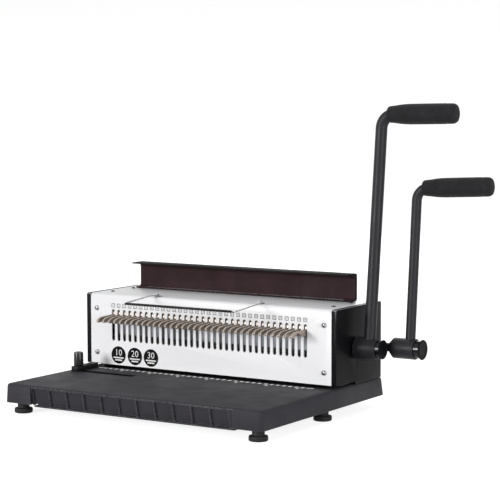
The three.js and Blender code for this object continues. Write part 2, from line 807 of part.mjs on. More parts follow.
function shaftBush(shaftRadius, side) {
  const bore = shaftRadius + fit;
  const outer = bore + bushWall;
  const face = frameOuter + fit;
  const bush = turnAboutX([
    [bore, frameInner], [outer, frameInner], [outer, face], [outer + bushFlange, face],
    [outer + bushFlange, face + bushFlangeThickness], [bore, face + bushFlangeThickness], [bore, frameInner],
  ]);
  return side > 0 ? bush : mirrored(bush);
}

function shaftCollar(shaftRadius) {
  const start = -frameInner + 2 * fit;
  return barX(shaftRadius + fit + collarWall, start, start + collarLength, 0, 0)
    .subtract(barX(shaftRadius + fit, start - overrun, start + collarLength + overrun, 0, 0));
}

for (const side of [-1, 1]) {
  const punchBush = piece(sideName('punch_bush', side), shaftBush(punchShaftRadius, side), materials.toolSteel);
  punchBush.position.set(0, punchShaftBack, shaftHeight);
  const bindingBush = piece(sideName('binding_bush', side), shaftBush(bindingShaftRadius, side), materials.toolSteel);
  bindingBush.position.set(0, bindingShaftBack, shaftHeight);
}
piece('punch_shaft_collar', shaftCollar(punchShaftRadius), materials.toolSteel, punchDrive);
piece('binding_shaft_collar', shaftCollar(bindingShaftRadius), materials.toolSteel, bindingDrive);

// Levers: bent rods in the hubs' radial sockets, each in a group that leans back
const rodSides = 12;
const bendRodSteps = 5;
const gripSides = 14;
const gripEndWall = 12;
const gripProfile_shares = [
  [0.74, 0], [0.81, 0.015], [0.83, 0.05], [0.93, 0.16], [1, 0.3], [1, 0.84], [0.97, 0.86], [0.98, 0.93],
  [0.82, 0.975], [0.5, 0.997],
];

function rodPath(place, foot, rise, bendRadius, end, tilt) {
  const points = [new THREE.Vector3(place, 0, foot)];
  const middle = new THREE.Vector3(place + bendRadius, 0, rise - bendRadius);
  for (let i = 0; i <= bendRodSteps; i += 1) {
    const turn = Math.PI - (Math.PI / 2 - tilt) * i / bendRodSteps;
    points.push(new THREE.Vector3(middle.x + bendRadius * Math.cos(turn), 0, middle.z + bendRadius * Math.sin(turn)));
  }
  const last = points[points.length - 1];
  points.push(new THREE.Vector3(end, 0, last.z + (end - last.x) * Math.tan(tilt)));
  return points;
}

function gripSleeve(path, rodRadius, start, length, radius, tilt) {
  const last = path[path.length - 1];
  const profile = gripProfile_shares.map(([across, along]) => [across * radius, along * length]);
  const body = turnAboutX([[0, 0], ...profile, [0, length]], gripSides)
    .rotate([0, -THREE.MathUtils.radToDeg(tilt), 0])
    .translate([start, 0, last.z - (last.x - start) * Math.tan(tilt)]);
  const longer = [...path.slice(0, -1), last.clone().add(new THREE.Vector3(fit, 0, fit * Math.tan(tilt)))];
  return body.subtract(sweepRound(longer, rodRadius + fit, rodSides));
}

const hubEdge = 0.8;
const punchArm = new THREE.Group();
punchArm.rotation.x = -punchLean;
punchDrive.add(punchArm);
const punchHubRadius = 13.6;
const punchHubNose = 11.8;
const punchRingRadius = 12.2;
const punchRingWidth = 1.3;
const punchGrooveRadius = 9.6;
const punchGrooveWidth = 5.7;
const punchRimRadius = 11.3;
const punchRimWidth = 1.3;
const punchRodRadius = 7;
const punchRodLead = 16.5;
const punchRodPlace = punchHubStart + punchRodLead;
const punchRise = 275.9;
const punchBend = 16;
const punchTilt = THREE.MathUtils.degToRad(0.8);
const punchGripLead = 9.5;
const punchGripLength = 87.6;
const punchGripRadius = 12.1;

function punchHub() {
  const rim = punchHubEnd - punchRimWidth;
  const groove = rim - punchGrooveWidth;
  const ring = groove - punchRingWidth;
  return cut(turnAboutX([
    [0, punchHubStart], [punchHubRadius - hubEdge, punchHubStart], [punchHubRadius, punchHubStart + hubEdge],
    [punchHubNose, ring], [punchRingRadius, ring], [punchRingRadius, groove], [punchGrooveRadius, groove],
    [punchGrooveRadius, rim], [punchRimRadius, rim], [punchRimRadius, punchHubEnd], [0, punchHubEnd],
  ]), [
    barX(punchShaftRadius + fit, punchHubStart - overrun, punchShaftEnd + fit, 0, 0),
    barZ(punchRodRadius + fit, punchRodPlace, 0, 0, punchHubRadius + overrun, rodSides),
  ]);
}
piece('punch_lever_hub', punchHub(), materials.leverPaint, punchArm);
const punchGripStart = punchRodPlace + punchGripLead;
const punchPath = rodPath(punchRodPlace, punchShaftRadius + 2 * fit, punchRise, punchBend,
  punchGripStart + punchGripLength - gripEndWall, punchTilt);
piece('punch_lever', sweepRound(punchPath, punchRodRadius, rodSides), materials.leverPaint, punchArm);
piece('punch_lever_grip', gripSleeve(punchPath, punchRodRadius, punchGripStart, punchGripLength, punchGripRadius,
  punchTilt), materials.gripRubber, punchArm);

const bindingArm = new THREE.Group();
bindingArm.rotation.x = -bindingLean;
bindingDrive.add(bindingArm);
const bindingNeckRadius = 5.6;
const coneLength = 6.6;
const bindingHubRadius = 12.2;
const bindingGrooveRadius = 9.8;
const bindingGrooveWidth = 7.3;
const bindingRimRadius = 11.9;
const bindingRimWidth = 1.8;
const bindingRodRadius = 5.9;
const bindingRodLead = 26.4;
const bindingRodPlace = bindingHubStart + bindingRodLead;
const bindingRise = 189.3;
const bindingBend = 15;
const bindingTilt = THREE.MathUtils.degToRad(2.4);
const bindingGripLead = 9.2;
const bindingGripLength = 87;
const bindingGripRadius = 11.45;

function bindingHub() {
  const rim = bindingHubEnd - bindingRimWidth;
  const groove = rim - bindingGrooveWidth;
  const cone = bindingHubStart + coneLength;
  return cut(turnAboutX([
    [0, bindingHubStart], [bindingNeckRadius, bindingHubStart], [bindingHubRadius, cone], [bindingHubRadius, groove],
    [bindingGrooveRadius, groove], [bindingGrooveRadius, rim], [bindingRimRadius, rim],
    [bindingRimRadius, bindingHubEnd - hubEdge], [bindingRimRadius - hubEdge, bindingHubEnd], [0, bindingHubEnd],
  ]), [
    barX(bindingShaftRadius + fit, bindingHubStart - overrun, bindingShaftEnd + fit, 0, 0),
    barZ(bindingRodRadius + fit, bindingRodPlace, 0, 0, bindingHubRadius + overrun, rodSides),
  ]);
}
piece('binding_lever_hub', bindingHub(), materials.leverPaint, bindingArm);
const bindingGripStart = bindingRodPlace + bindingGripLead;
const bindingPath = rodPath(bindingRodPlace, bindingShaftRadius + 2 * fit, bindingRise, bindingBend,
  bindingGripStart + bindingGripLength - gripEndWall, bindingTilt);
piece('binding_lever', sweepRound(bindingPath, bindingRodRadius, rodSides), materials.leverPaint, bindingArm);
piece('binding_lever_grip', gripSleeve(bindingPath, bindingRodRadius, bindingGripStart, bindingGripLength,
  bindingGripRadius, bindingTilt), materials.gripRubber, bindingArm);

// Closer: racks behind the pinions lift a bar whose blade rises through the channel's window
const closerPitchPlane = bindingShaftBack + closerRadius;
const closerRackDepth = 11;
const closerRackBack = closerPitchPlane + closerRackDepth;
const closerRackDrop = 25;
const webDrop = 27;
const webThickness = 6;
const bladeStep = 2;
const guideSlip = 0.4;
const guidePlate = 4;
const webLow = panelTop - webDrop;
const closerRackLow = shaftHeight - closerRackDrop;
const bladeTop = panelTop + fit + bladeStep;

for (const side of [-1, 1]) {
  const x = side * closerPinionSide;
  const rack = drawAlongX(rackOutline(closerPitchPlane, -1, closerModule, closerRackBack, closerRackLow, webLow - fit),
    x - pinionWidth / 2, x + pinionWidth / 2);
  piece(sideName('closer_rack', side), rack, materials.toolSteel);
}
const closerBar = drawAlongX([
  [bladeFront, webLow], [closerRackBack, webLow], [closerRackBack, webLow + webThickness],
  [bladeBack, webLow + webThickness], [bladeBack, bladeTop], [bladeFront, bladeTop],
], -closerHalf, closerHalf);
piece('closer_bar', closerBar, materials.toolSteel);
const guideFace = closerRackBack + guideSlip;
piece('closer_guide_plate', block(-dieHalf, dieHalf, guideFace, guideFace + guidePlate, closerRackLow, webLow - fit),
  materials.toolSteel);

// Tie bars between the side frames
const tieRadius = 4.5;
const tieBack = 102;
const tieInset = 17;
piece('tie_bar_upper', barX(tieRadius, -dieHalf, dieHalf, tieBack, panelTop - tieInset, postSides), materials.toolSteel);
piece('tie_bar_lower', barX(tieRadius, -dieHalf, dieHalf, tieBack, baseTop + tieInset, postSides), materials.toolSteel);

// Closing channel: thick rolled section that the blade presses the wire against
const channelEnd = 12.5;
const channelHalf = closerHalf + channelEnd;
const channelRise = 33.8;
const channelReach = 24;
const channelFootReach = 15;
const channelLip = 1.6;
const channelThicken = 1.2;
const channelFoot = 2;
const channelFillet = 4;
const channelEdge = 2.4;
const filletSteps = 3;

function closingChannel() {
  const low = panelTop + fit;
  const high = low + channelRise;
  const middle = channelBack - channelWeb - channelFillet;
  const upper = high - channelLip - channelThicken - channelFillet;
  const lower = low + channelFoot + channelFillet;
  const slant = channelEdge * chamferShare;
  const outline = [
    [channelBack - channelFootReach, low], [channelBack - channelEdge, low], [channelBack, low + channelEdge],
    [channelBack, high - channelEdge], [channelBack - slant, high - slant], [channelBack - channelEdge, high],
    [channelBack - channelReach, high], [channelBack - channelReach, high - channelLip],
  ];
  for (const [level, start] of [[upper, Math.PI / 2], [lower, 0]]) {
    for (let i = 0; i <= filletSteps; i += 1) {
      const turn = start - i * Math.PI / 2 / filletSteps;
      outline.push([middle + channelFillet * Math.cos(turn), level + channelFillet * Math.sin(turn)]);
    }
  }
  outline.push([channelBack - channelFootReach, low + channelFoot]);
  const window = block(-closerHalf - windowGap, closerHalf + windowGap, bladeFront - windowGap, bladeBack + windowGap,
    low - overrun, lower);
  return drawAlongX(outline, -channelHalf, channelHalf).subtract(window);
}
piece('closing_channel', closingChannel(), materials.blackSheet);

// Wire bail on the front top edge, with a sleeve on its front bar and a knuckle at each end
const bailHalf = 79.5;
const bailReach = 62.5;
const bailWire = 1.1;
const bailDroop = THREE.MathUtils.degToRad(4.2);
const bailBack = 2.5;
const bailRise = 2.6;
const bailCorner = 5;
const bailStub = 6;
const bailKnee = 0.8;
const bailSteps = 3;
const sleeveWall = 0.8;
const wireRound = 8;
const bail = new THREE.Group();
bail.position.set(0, bailBack, panelTop + bailRise);
bail.rotation.x = bailDroop;
machine.add(bail);

function supportBail() {
  const right = [[bailHalf - bailStub, 0], [bailHalf - bailKnee, 0], [bailHalf, bailKnee]];
  for (let i = 0; i <= bailSteps; i += 1) {
    const turn = i * Math.PI / 2 / bailSteps;
    right.push([bailHalf - bailCorner + bailCorner * Math.cos(turn),
      bailReach - bailCorner + bailCorner * Math.sin(turn)]);
  }
  const left = right.map(([x, reach]) => [-x, reach]).reverse();
  const points = [...right, ...left].map(([x, reach]) => new THREE.Vector3(x, 0, reach));
  return sweepRound(points, bailWire, wireRound).rotate([90, 0, 0]);
}
piece('support_bail', supportBail(), materials.chrome, bail);

const bailSleeveHalf = bailHalf - bailCorner - weld;
const bailSleeve = barX(bailWire + sleeveWall, -bailSleeveHalf, bailSleeveHalf, -bailReach, 0, smallSides)
  .subtract(barX(bailWire + fit, -bailSleeveHalf - overrun, bailSleeveHalf + overrun, -bailReach, 0, wireRound));
piece('bail_sleeve', bailSleeve, materials.knobPlastic, bail);

const knuckleWall = 1.1;
const knuckleLength = 5;
const knuckleFoot = 9;
const knucklePlate = 1;
const knuckleInset = 2.2;

function bailKnuckle(side) {
  const outer = bailHalf - knuckleInset;
  const inner = outer - knuckleLength;
  const low = panelTop + fit / 2;
  const axis = panelTop + bailRise;
  const knuckle = join([
    barX(bailWire + knuckleWall, inner, outer, bailBack, axis, smallSides),
    block(inner, outer, bailBack, bailBack + knuckleFoot, low, low + knucklePlate),
  ]).subtract(barX(bailWire + fit, inner - overrun, outer + overrun, bailBack, axis, wireRound));
  return side > 0 ? knuckle : mirrored(knuckle);
}
piece('bail_knuckle_left', bailKnuckle(-1), materials.chrome);
piece('bail_knuckle_right', bailKnuckle(1), materials.chrome);

// Edge guide: straight stop that slides along the tray's slot and is clamped by a fluted knob
const edgeGuide = new THREE.Group();
edgeGuide.position.set(guideStart, -guideFromPanel, baseTop + fit);
machine.add(edgeGuide);
const guideHeight = 6;
const guideHalf = 5;
const guideFrontReach = 9.5;
const guideBackReach = 35;
const guideRound = 2;
const guideRoundSteps = 2;
const knobRadius = 6.2;
const knobHeight = 17;
const knobFlutes = 9;
const fluteDepth = 0.6;
const crownHeight = 1;
const knobTaperShare = 0.94;
const crownShare = 0.84;

function edgeGuideBar() {
  const points = roundedPlan(-guideHalf, guideHalf, -guideFrontReach, guideBackReach, guideRound, guideRoundSteps);
  return loft([{ z: 0, points }, { z: guideHeight, points }])
    .subtract(barZ(studRadius + fit, 0, 0, -overrun, guideHeight + overrun, smallSides));
}
piece('edge_guide', edgeGuideBar(), materials.knobPlastic, edgeGuide);

const clampTop = -2 * fit - wall;
const clampFoot = clampTop - clampHeight;

function guideKnob() {
  const points = [];
  const count = knobFlutes * 4;
  for (let i = 0; i < count; i += 1) {
    const turn = i * 2 * Math.PI / count;
    const radius = i % 4 < 2 ? knobRadius : knobRadius - fluteDepth;
    points.push([radius * Math.cos(turn), radius * Math.sin(turn)]);
  }
  const low = guideHeight + fit;
  const high = low + knobHeight;
  const head = loft([
    { z: low, points },
    { z: high - crownHeight, points: points.map(([x, y]) => [x * knobTaperShare, y * knobTaperShare]) },
    { z: high, points: points.map(([x, y]) => [x * crownShare, y * crownShare]) },
  ]);
  return head.add(barZ(studRadius, 0, 0, clampFoot, low + weld, smallSides));
}
piece('edge_guide_knob', guideKnob(), materials.knobPlastic, edgeGuide);

const clampPlate = block(-clampHalf, clampHalf, -clampHalf, clampHalf, clampFoot, clampTop)
  .subtract(barZ(studRadius + fit, 0, 0, clampFoot - overrun, clampTop + overrun, smallSides));
piece('guide_clamp_plate', clampPlate, materials.toolSteel, edgeGuide);

// Panel screws: round heads on the panel, shanks into the die block and the frame flanges
const screwHead = 3.1;
const headHeight = 2.2;
const headProfile_shares = [[0, 1], [0.55, 0.86], [0.9, 0.4], [1, 0]];

function panelScrew(depth) {
  const profile = headProfile_shares.map(([across, up]) => new THREE.Vector2(across * screwHead, -up * headHeight));
  profile.push(new THREE.Vector2(screwShank, 0), new THREE.Vector2(screwShank, depth), new THREE.Vector2(0, depth));
  return toSolid(new THREE.LatheGeometry(profile, smallSides));
}
for (const side of [-1, 1]) {
  const lower = piece(sideName('panel_screw_lower', side), panelScrew(screwDepth), materials.chrome);
  lower.position.set(side * screwSide, -fit, panelBottom + lowerScrewRise);
  const upper = piece(sideName('panel_screw_upper', side), panelScrew(frameFront + flange), materials.chrome);
  upper.position.set(side * screwSide, -fit, panelBottom + upperScrewRise);
}

// The finished machine stands on Z = 0 with its bounding box centred over the origin
machine.updateMatrixWorld(true);
const reach = new THREE.Box3().setFromObject(machine);
const centre = reach.getCenter(new THREE.Vector3());
machine.position.set(-centre.x, -centre.y, -reach.min.z);
machine.updateMatrixWorld(true);
console.log('shift to the centre', (-centre.x).toFixed(3), (-centre.y).toFixed(3), (-reach.min.z).toFixed(3));

export default machine;
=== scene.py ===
import math

import bmesh
import bpy
from mathutils import Matrix, Vector


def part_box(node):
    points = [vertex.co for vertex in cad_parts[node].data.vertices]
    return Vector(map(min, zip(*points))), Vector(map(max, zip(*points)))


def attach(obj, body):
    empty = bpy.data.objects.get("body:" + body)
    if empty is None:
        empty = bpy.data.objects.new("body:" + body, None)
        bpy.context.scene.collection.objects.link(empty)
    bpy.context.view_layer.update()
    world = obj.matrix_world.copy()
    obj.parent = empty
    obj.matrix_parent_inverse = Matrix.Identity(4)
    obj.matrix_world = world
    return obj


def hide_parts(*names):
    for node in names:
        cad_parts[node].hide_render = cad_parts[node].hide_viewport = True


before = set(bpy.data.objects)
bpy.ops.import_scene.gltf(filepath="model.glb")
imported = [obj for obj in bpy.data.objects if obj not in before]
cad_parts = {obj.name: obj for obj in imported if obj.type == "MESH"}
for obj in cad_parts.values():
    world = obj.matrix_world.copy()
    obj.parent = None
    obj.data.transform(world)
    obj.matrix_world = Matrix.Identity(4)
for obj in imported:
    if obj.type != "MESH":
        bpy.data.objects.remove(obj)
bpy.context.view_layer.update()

# Base tray. One hollow moulding in charcoal plastic with a fine matt texture and rounded edges.
# It is moulded in one shot, with ribs and foot bosses under it, and carries everything else.
mm = 0.001
shell_low, shell_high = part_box("housing_shell")
row_middle = (shell_low.x + shell_high.x) / 2
panel_face = shell_low.y
panel_top = shell_high.z
tray_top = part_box("base_tray")[1].z
scene = bpy.context.scene


def at(x, y, z):
    """A place given in millimetres from the middle of the row of slots, the panel's face and the table."""
    return Vector((row_middle + x * mm, panel_face + y * mm, z * mm))


def new_piece(name, bm, body, materials, angle=35, replaces=()):
    """Turns a finished bmesh into a piece that rides on a body of the machine."""
    mesh = bpy.data.meshes.new(name)
    for face in bm.faces:
        face.smooth = True
    bm.to_mesh(mesh)
    bm.free()
    mesh.set_sharp_from_angle(angle=math.radians(angle))
    made = bpy.data.objects.new(name, mesh)
    scene.collection.objects.link(made)
    for material in materials:
        mesh.materials.append(material)
    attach(made, body)
    if replaces:
        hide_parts(*replaces)
    return made


def solid_of(node):
    """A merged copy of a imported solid, ready for its edges to be rounded."""
    bm = bmesh.new()
    bm.from_mesh(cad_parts[node].data)
    bmesh.ops.remove_doubles(bm, verts=bm.verts, dist=0.01 * mm)
    return bm


def dressed(node, name, body, materials, edge, segments, angle):
    """The solid of a node with its sharp edges rounded off, standing for that node."""
    made = new_piece(name, solid_of(node), body, materials, angle, (node,))
    rounding = made.modifiers.new("rounded edges", "BEVEL")
    rounding.width = edge * mm
    rounding.segments = segments
    rounding.limit_method = "ANGLE"
    rounding.angle_limit = math.radians(angle)
    rounding.harden_normals = True
    rounding.use_clamp_overlap = True
    return made


def finish(name, colour, roughness, metallic=0.0, mirror=0.5):
    """A material, its tree and its shader, with even values set on the shader's own sockets."""
    material = bpy.data.materials.new(name)
    material.use_nodes = True
    tree = material.node_tree
    shader = tree.nodes["Principled BSDF"]
    shader.inputs["Base Color"].default_value = (*colour, 1)
    shader.inputs["Roughness"].default_value = roughness
    shader.inputs["Metallic"].default_value = metallic
    shader.inputs["Specular IOR Level"].default_value = mirror
    return material, tree, shader


def group_of(name, inputs, outputs):
    """An empty node group with named sockets, and its two end nodes."""
    group = bpy.data.node_groups.new(name, "ShaderNodeTree")
    for label, kind, value in inputs:
        group.interface.new_socket(label, in_out="INPUT", socket_type=kind).default_value = value
    for label, kind in outputs:
        group.interface.new_socket(label, in_out="OUTPUT", socket_type=kind)
    return group, group.nodes.new("NodeGroupInput"), group.nodes.new("NodeGroupOutput")


def place_group(tree, group, **values):
    """A group placed in a material, with its inputs set by name."""
    node = tree.nodes.new("ShaderNodeGroup")
    node.node_tree = group
    for label, value in values.items():
        node.inputs[label.replace("_", " ")].default_value = value
    return node


def calc(tree, operation, first, second=None, clamp=False):
    """A Math node fed by sockets or plain numbers."""
    node = tree.nodes.new("ShaderNodeMath")
    node.operation = operation
    node.use_clamp = clamp
    for socket, value in zip(node.inputs, (first, second)):
        if isinstance(value, (int, float)):
            socket.default_value = value
        elif value is not None:
            tree.links.new(value, socket)
    return node.outputs[0]


def noise_of(tree, scale, detail, roughness, stretch=(1, 1, 1)):
    """Noise in object space, in cells per millimetre."""
    where = tree.nodes.new("ShaderNodeTexCoord")
    turn = tree.nodes.new("ShaderNodeMapping")
    turn.inputs["Scale"].default_value = [s * 1000 for s in stretch]
    noise = tree.nodes.new("ShaderNodeTexNoise")
    noise.inputs["Detail"].default_value = detail
    noise.inputs["Roughness"].default_value = roughness
    tree.links.new(where.outputs["Object"], turn.inputs["Vector"])
    tree.links.new(turn.outputs["Vector"], noise.inputs["Vector"])
    if isinstance(scale, (int, float)):
        noise.inputs["Scale"].default_value = scale
    else:
        tree.links.new(scale, noise.inputs["Scale"])
    return noise.outputs["Fac"]


def mixed(tree, factor, first, second):
    """A colour mix: the factor is a socket, and each colour is a socket or a plain colour."""
    node = tree.nodes.new("ShaderNodeMix")
    node.data_type = "RGBA"
    for label, value in (("Factor", factor), ("A", first), ("B", second)):
        if isinstance(value, tuple):
            node.inputs[label].default_value = (*value, 1)
        else:
            tree.links.new(value, node.inputs[label])
    return node.outputs["Result"]


# Colour that drifts softly from place to place, as on any moulded or painted face
drift_group, drift_in, drift_out = group_of(
    "colour drift",
    [("Colour", "NodeSocketColor", (0.1, 0.1, 0.1, 1)), ("Amount", "NodeSocketFloat", 0.1),
     ("Scale", "NodeSocketFloat", 0.02)],
    [("Colour", "NodeSocketColor")])
drift_noise = noise_of(drift_group, drift_in.outputs["Scale"], 4, 0.6)
drift_centred = calc(drift_group, "SUBTRACT", drift_noise, 0.5)
drift_swing = calc(drift_group, "MULTIPLY", drift_centred, drift_in.outputs["Amount"])
drift_gain = calc(drift_group, "ADD", drift_swing, 1.0)
drift_scale = drift_group.nodes.new("ShaderNodeVectorMath")
drift_scale.operation = "SCALE"
drift_group.links.new(drift_in.outputs["Colour"], drift_scale.inputs[0])
drift_group.links.new(drift_gain, drift_scale.inputs["Scale"])
drift_group.links.new(drift_scale.outputs[0], drift_out.inputs["Colour"])

# Fine grain of a textured mould or of sprayed paint, as a height
grain_group, grain_in, grain_out = group_of(
    "fine grain", [("Scale", "NodeSocketFloat", 1.0), ("Depth", "NodeSocketFloat", 1.0)],
    [("Height", "NodeSocketFloat")])
grain_coarse = noise_of(grain_group, grain_in.outputs["Scale"], 3, 0.55)
grain_close = calc(grain_group, "MULTIPLY", grain_in.outputs["Scale"], 3.1)
grain_fine = calc(grain_group, "MULTIPLY", noise_of(grain_group, grain_close, 2, 0.5), 0.4)
grain_sum = calc(grain_group, "ADD", grain_coarse, grain_fine)
grain_height = calc(grain_group, "MULTIPLY", grain_sum, grain_in.outputs["Depth"])
grain_group.links.new(grain_height, grain_out.inputs["Height"])

# Edges lightened where the rounded normal leaves the flat one, broken up by noise: handling marks on most
# finishes, and on the tray mostly a painted highlight along its rounded edges
edge_lightening_group, edge_lightening_in, edge_lightening_out = group_of(
    "edge lightening", [("Reach", "NodeSocketFloat", 0.0006), ("Amount", "NodeSocketFloat", 0.5)],
    [("Mask", "NodeSocketFloat")])
edge_rounded_normal = edge_lightening_group.nodes.new("ShaderNodeBevel")
edge_rounded_normal.samples = 4
edge_lightening_group.links.new(edge_lightening_in.outputs["Reach"], edge_rounded_normal.inputs["Radius"])
edge_flat_normal = edge_lightening_group.nodes.new("ShaderNodeNewGeometry")
edge_alignment = edge_lightening_group.nodes.new("ShaderNodeVectorMath")
edge_alignment.operation = "DOT_PRODUCT"
edge_lightening_group.links.new(edge_rounded_normal.outputs["Normal"], edge_alignment.inputs[0])
edge_lightening_group.links.new(edge_flat_normal.outputs["Normal"], edge_alignment.inputs[1])
edge_departure = calc(edge_lightening_group, "SUBTRACT", 0.985, edge_alignment.outputs["Value"])
edge_band = calc(edge_lightening_group, "MULTIPLY", edge_departure, 9.0, True)
edge_noise = calc(edge_lightening_group, "SUBTRACT", noise_of(edge_lightening_group, 0.35, 4, 0.65), 0.42)
edge_breakup = calc(edge_lightening_group, "MULTIPLY", edge_noise, 4.0, True)
edge_patches = calc(edge_lightening_group, "MULTIPLY", edge_band, edge_breakup)
edge_lightening_mask = calc(edge_lightening_group, "MULTIPLY", edge_patches, edge_lightening_in.outputs["Amount"], True)
edge_lightening_group.links.new(edge_lightening_mask, edge_lightening_out.inputs["Mask"])

# Dust that settles on faces that look up
dust_group, dust_in, dust_out = group_of("settled dust", [("Amount", "NodeSocketFloat", 0.1)],
                                         [("Mask", "NodeSocketFloat")])
dust_face = dust_group.nodes.new("ShaderNodeNewGeometry")
dust_split = dust_group.nodes.new("ShaderNodeSeparateXYZ")
dust_group.links.new(dust_face.outputs["Normal"], dust_split.inputs[0])
dust_up = calc(dust_group, "POWER", calc(dust_group, "MAXIMUM", dust_split.outputs["Z"], 0.0), 3.0)
dust_noise = calc(dust_group, "SUBTRACT", noise_of(dust_group, 0.012, 6, 0.6), 0.3)
dust_cloud = calc(dust_group, "MULTIPLY", dust_noise, 2.2, True)
dust_layer = calc(dust_group, "MULTIPLY", dust_up, dust_cloud)
dust_mask = calc(dust_group, "MULTIPLY", dust_layer, dust_in.outputs["Amount"], True)
dust_group.links.new(dust_mask, dust_out.inputs["Mask"])


def grained(tree, shader, cells, strength, distance=0.1):
    """Feeds the fine grain through a Bump node into the shader's normal."""
    grain = place_group(tree, grain_group, Scale=cells, Depth=1.0)
    bump = tree.nodes.new("ShaderNodeBump")
    bump.inputs["Strength"].default_value = strength
    bump.inputs["Distance"].default_value = distance * mm
    tree.links.new(grain.outputs["Height"], bump.inputs["Height"])
    tree.links.new(bump.outputs["Normal"], shader.inputs["Normal"])


def coated(tree, shader, drift, cells, edge_colour, edge_amount, reach, dust, dust_colour=(0.3, 0.29, 0.28)):
    """Lays drift, lightened edges (handling marks, and on the tray a painted highlight) and dust, in that
    order, over the colour that the shader was given.
    """
    plain = tuple(shader.inputs["Base Color"].default_value)
    body_colour = place_group(tree, drift_group, Colour=plain, Amount=drift, Scale=cells)
    edge_marks = place_group(tree, edge_lightening_group, Reach=reach * mm, Amount=edge_amount)
    dusty = place_group(tree, dust_group, Amount=dust)
    edge_toned = mixed(tree, edge_marks.outputs["Mask"], body_colour.outputs["Colour"], edge_colour)
    top = mixed(tree, dusty.outputs["Mask"], edge_toned, dust_colour)
    tree.links.new(top, shader.inputs["Base Color"])


def uneven(tree, shader, low, high, scale, stretch=(1, 1, 1)):
    """Roughness that varies between two values over the surface."""
    spread = tree.nodes.new("ShaderNodeMapRange")
    spread.inputs["From Min"].default_value = 0.3
    spread.inputs["From Max"].default_value = 0.7
    spread.inputs["To Min"].default_value = low
    spread.inputs["To Max"].default_value = high
    tree.links.new(noise_of(tree, scale, 3, 0.5, stretch), spread.inputs["Value"])
    tree.links.new(spread.outputs["Result"], shader.inputs["Roughness"])


tray_plastic, tree, shader = finish("tray plastic", (0.0285, 0.0268, 0.0325), roughness=0.62, mirror=0.2)
# The strong edge lightening on the tray is mostly a painted highlight along its rounded edges; the amount
# saturates the noise so the lines run unbroken.
coated(tree, shader, drift=0.2, cells=0.02, edge_colour=(0.15, 0.145, 0.155), edge_amount=2.2, reach=1.1, dust=0.03)
uneven(tree, shader, 0.56, 0.7, 0.03)
grained(tree, shader, cells=1.1, strength=0.35, distance=0.12)
dressed("base_tray", "tray", "machine", [tray_plastic], edge=0.35, segments=2, angle=46)

# Ruler marks. White dashes printed on the tray in front of the throat, one for every hole of the row,
# with closer dashes over the last centimetres at both ends. They are ink, a tenth of a millimetre thick.
print_white, tree, shader = finish("printed white", (0.95, 0.95, 0.95), roughness=0.8)
coated(tree, shader, drift=0.1, cells=0.5, edge_colour=(0.5, 0.5, 0.5), edge_amount=0.2, reach=0.2, dust=0.0)
pitch = 25.4 / 3
holes = 34
middle_hole = (holes - 1) / 2
dash_line = -6.0
dash_deep = 5.5
first_close = 146.5
close_step = 3.2


def bar_at(bm, place, wide, deep, high):
    """A straight bar with its middle at a place, its three sizes in millimetres."""
    bar = bmesh.ops.create_cube(bm, size=1)["verts"]
    bmesh.ops.scale(bm, verts=bar, vec=(wide * mm, deep * mm, high * mm))
    bmesh.ops.translate(bm, verts=bar, vec=place)


dashes = [((i - middle_hole) * pitch, dash_line, 4.4, dash_deep) for i in range(holes)]
dashes += [(-first_close - close_step * i, dash_line, 1.7, dash_deep) for i in range(4)]
dashes += [(first_close + close_step * i, dash_line, 1.7, dash_deep) for i in range(3)]
dashes += [((i - middle_hole - 0.3) * pitch, -14.0, 2.0, 6.0) for i in range(3, holes, 5)]
marks = bmesh.new()
for x, y, wide, deep in dashes:
    bar_at(marks, at(x, y, 0) + Vector((0, 0, tray_top + 0.02 * mm)), wide, deep, 0.1)
new_piece("ruler_marks", marks, "machine", [print_white])

# Chip drawer. The same charcoal plastic, a pan whose front fills the tray's ribbed opening.
# It is pulled by the lip under its front and runs on two rails inside the tray.
dressed("chip_drawer", "drawer", "drawer", [tray_plastic], edge=0.3, segments=2, angle=40)

# Feet. Black rubber discs on moulded necks, screwed up into the bosses of the tray.
# The sole is dished, with a raised ring that grips the table.
foot_rubber, tree, shader = finish("foot rubber", (0.012, 0.012, 0.013), roughness=0.7, mirror=0.3)
coated(tree, shader, drift=0.3, cells=0.05, edge_colour=(0.05, 0.05, 0.05),
       edge_amount=0.5, reach=0.6, dust=0.1, dust_colour=(0.1, 0.1, 0.1))
uneven(tree, shader, 0.6, 0.8, 0.1)
grained(tree, shader, cells=1.6, strength=0.3)


def turned(bm, profile, centre, axis, steps):
    """Spins a profile of (radius, along) pairs about X or Z through a centre, into one closed skin."""
    along = Vector((1, 0, 0)) if axis == "X" else Vector((0, 0, 1))
    out = Vector((0, 1, 0)) if axis == "X" else Vector((1, 0, 0))
    verts = [bm.verts.new(centre + out * r * mm + along * a * mm) for r, a in profile]
    edges = [bm.edges.new(pair) for pair in zip(verts, verts[1:])]
    bmesh.ops.spin(bm, geom=verts + edges, cent=centre, axis=along, angle=2 * math.pi, steps=steps,
                   use_merge=True)
    bmesh.ops.remove_doubles(bm, verts=bm.verts, dist=0.002 * mm)
    bmesh.ops.recalc_face_normals(bm, faces=bm.faces)


foot_profile = [(0, 1.1), (7.6, 1.1), (8.1, 0.15), (9.6, 0.0), (10.4, 0.35), (10.85, 1.2), (10.9, 2.9),
                (10.6, 3.1), (10.9, 3.35), (10.85, 4.9), (10.3, 5.75), (9.3, 6.0), (7.9, 6.1), (7.3, 6.5),
                (7.1, 7.2), (7.1, 13.1), (0, 13.1)]
for node in ("foot_front_left", "foot_front_right", "foot_middle_left", "foot_middle_right",
             "foot_rear_left", "foot_rear_right"):
    low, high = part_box(node)
    foot = bmesh.new()
    under = Vector(((low.x + high.x) / 2, (low.y + high.y) / 2, 0))
    turned(foot, foot_profile, under, "Z", 48)
    new_piece(node.replace("foot", "rubber_foot"), foot, "machine", [foot_rubber], angle=40,
              replaces=(node,))

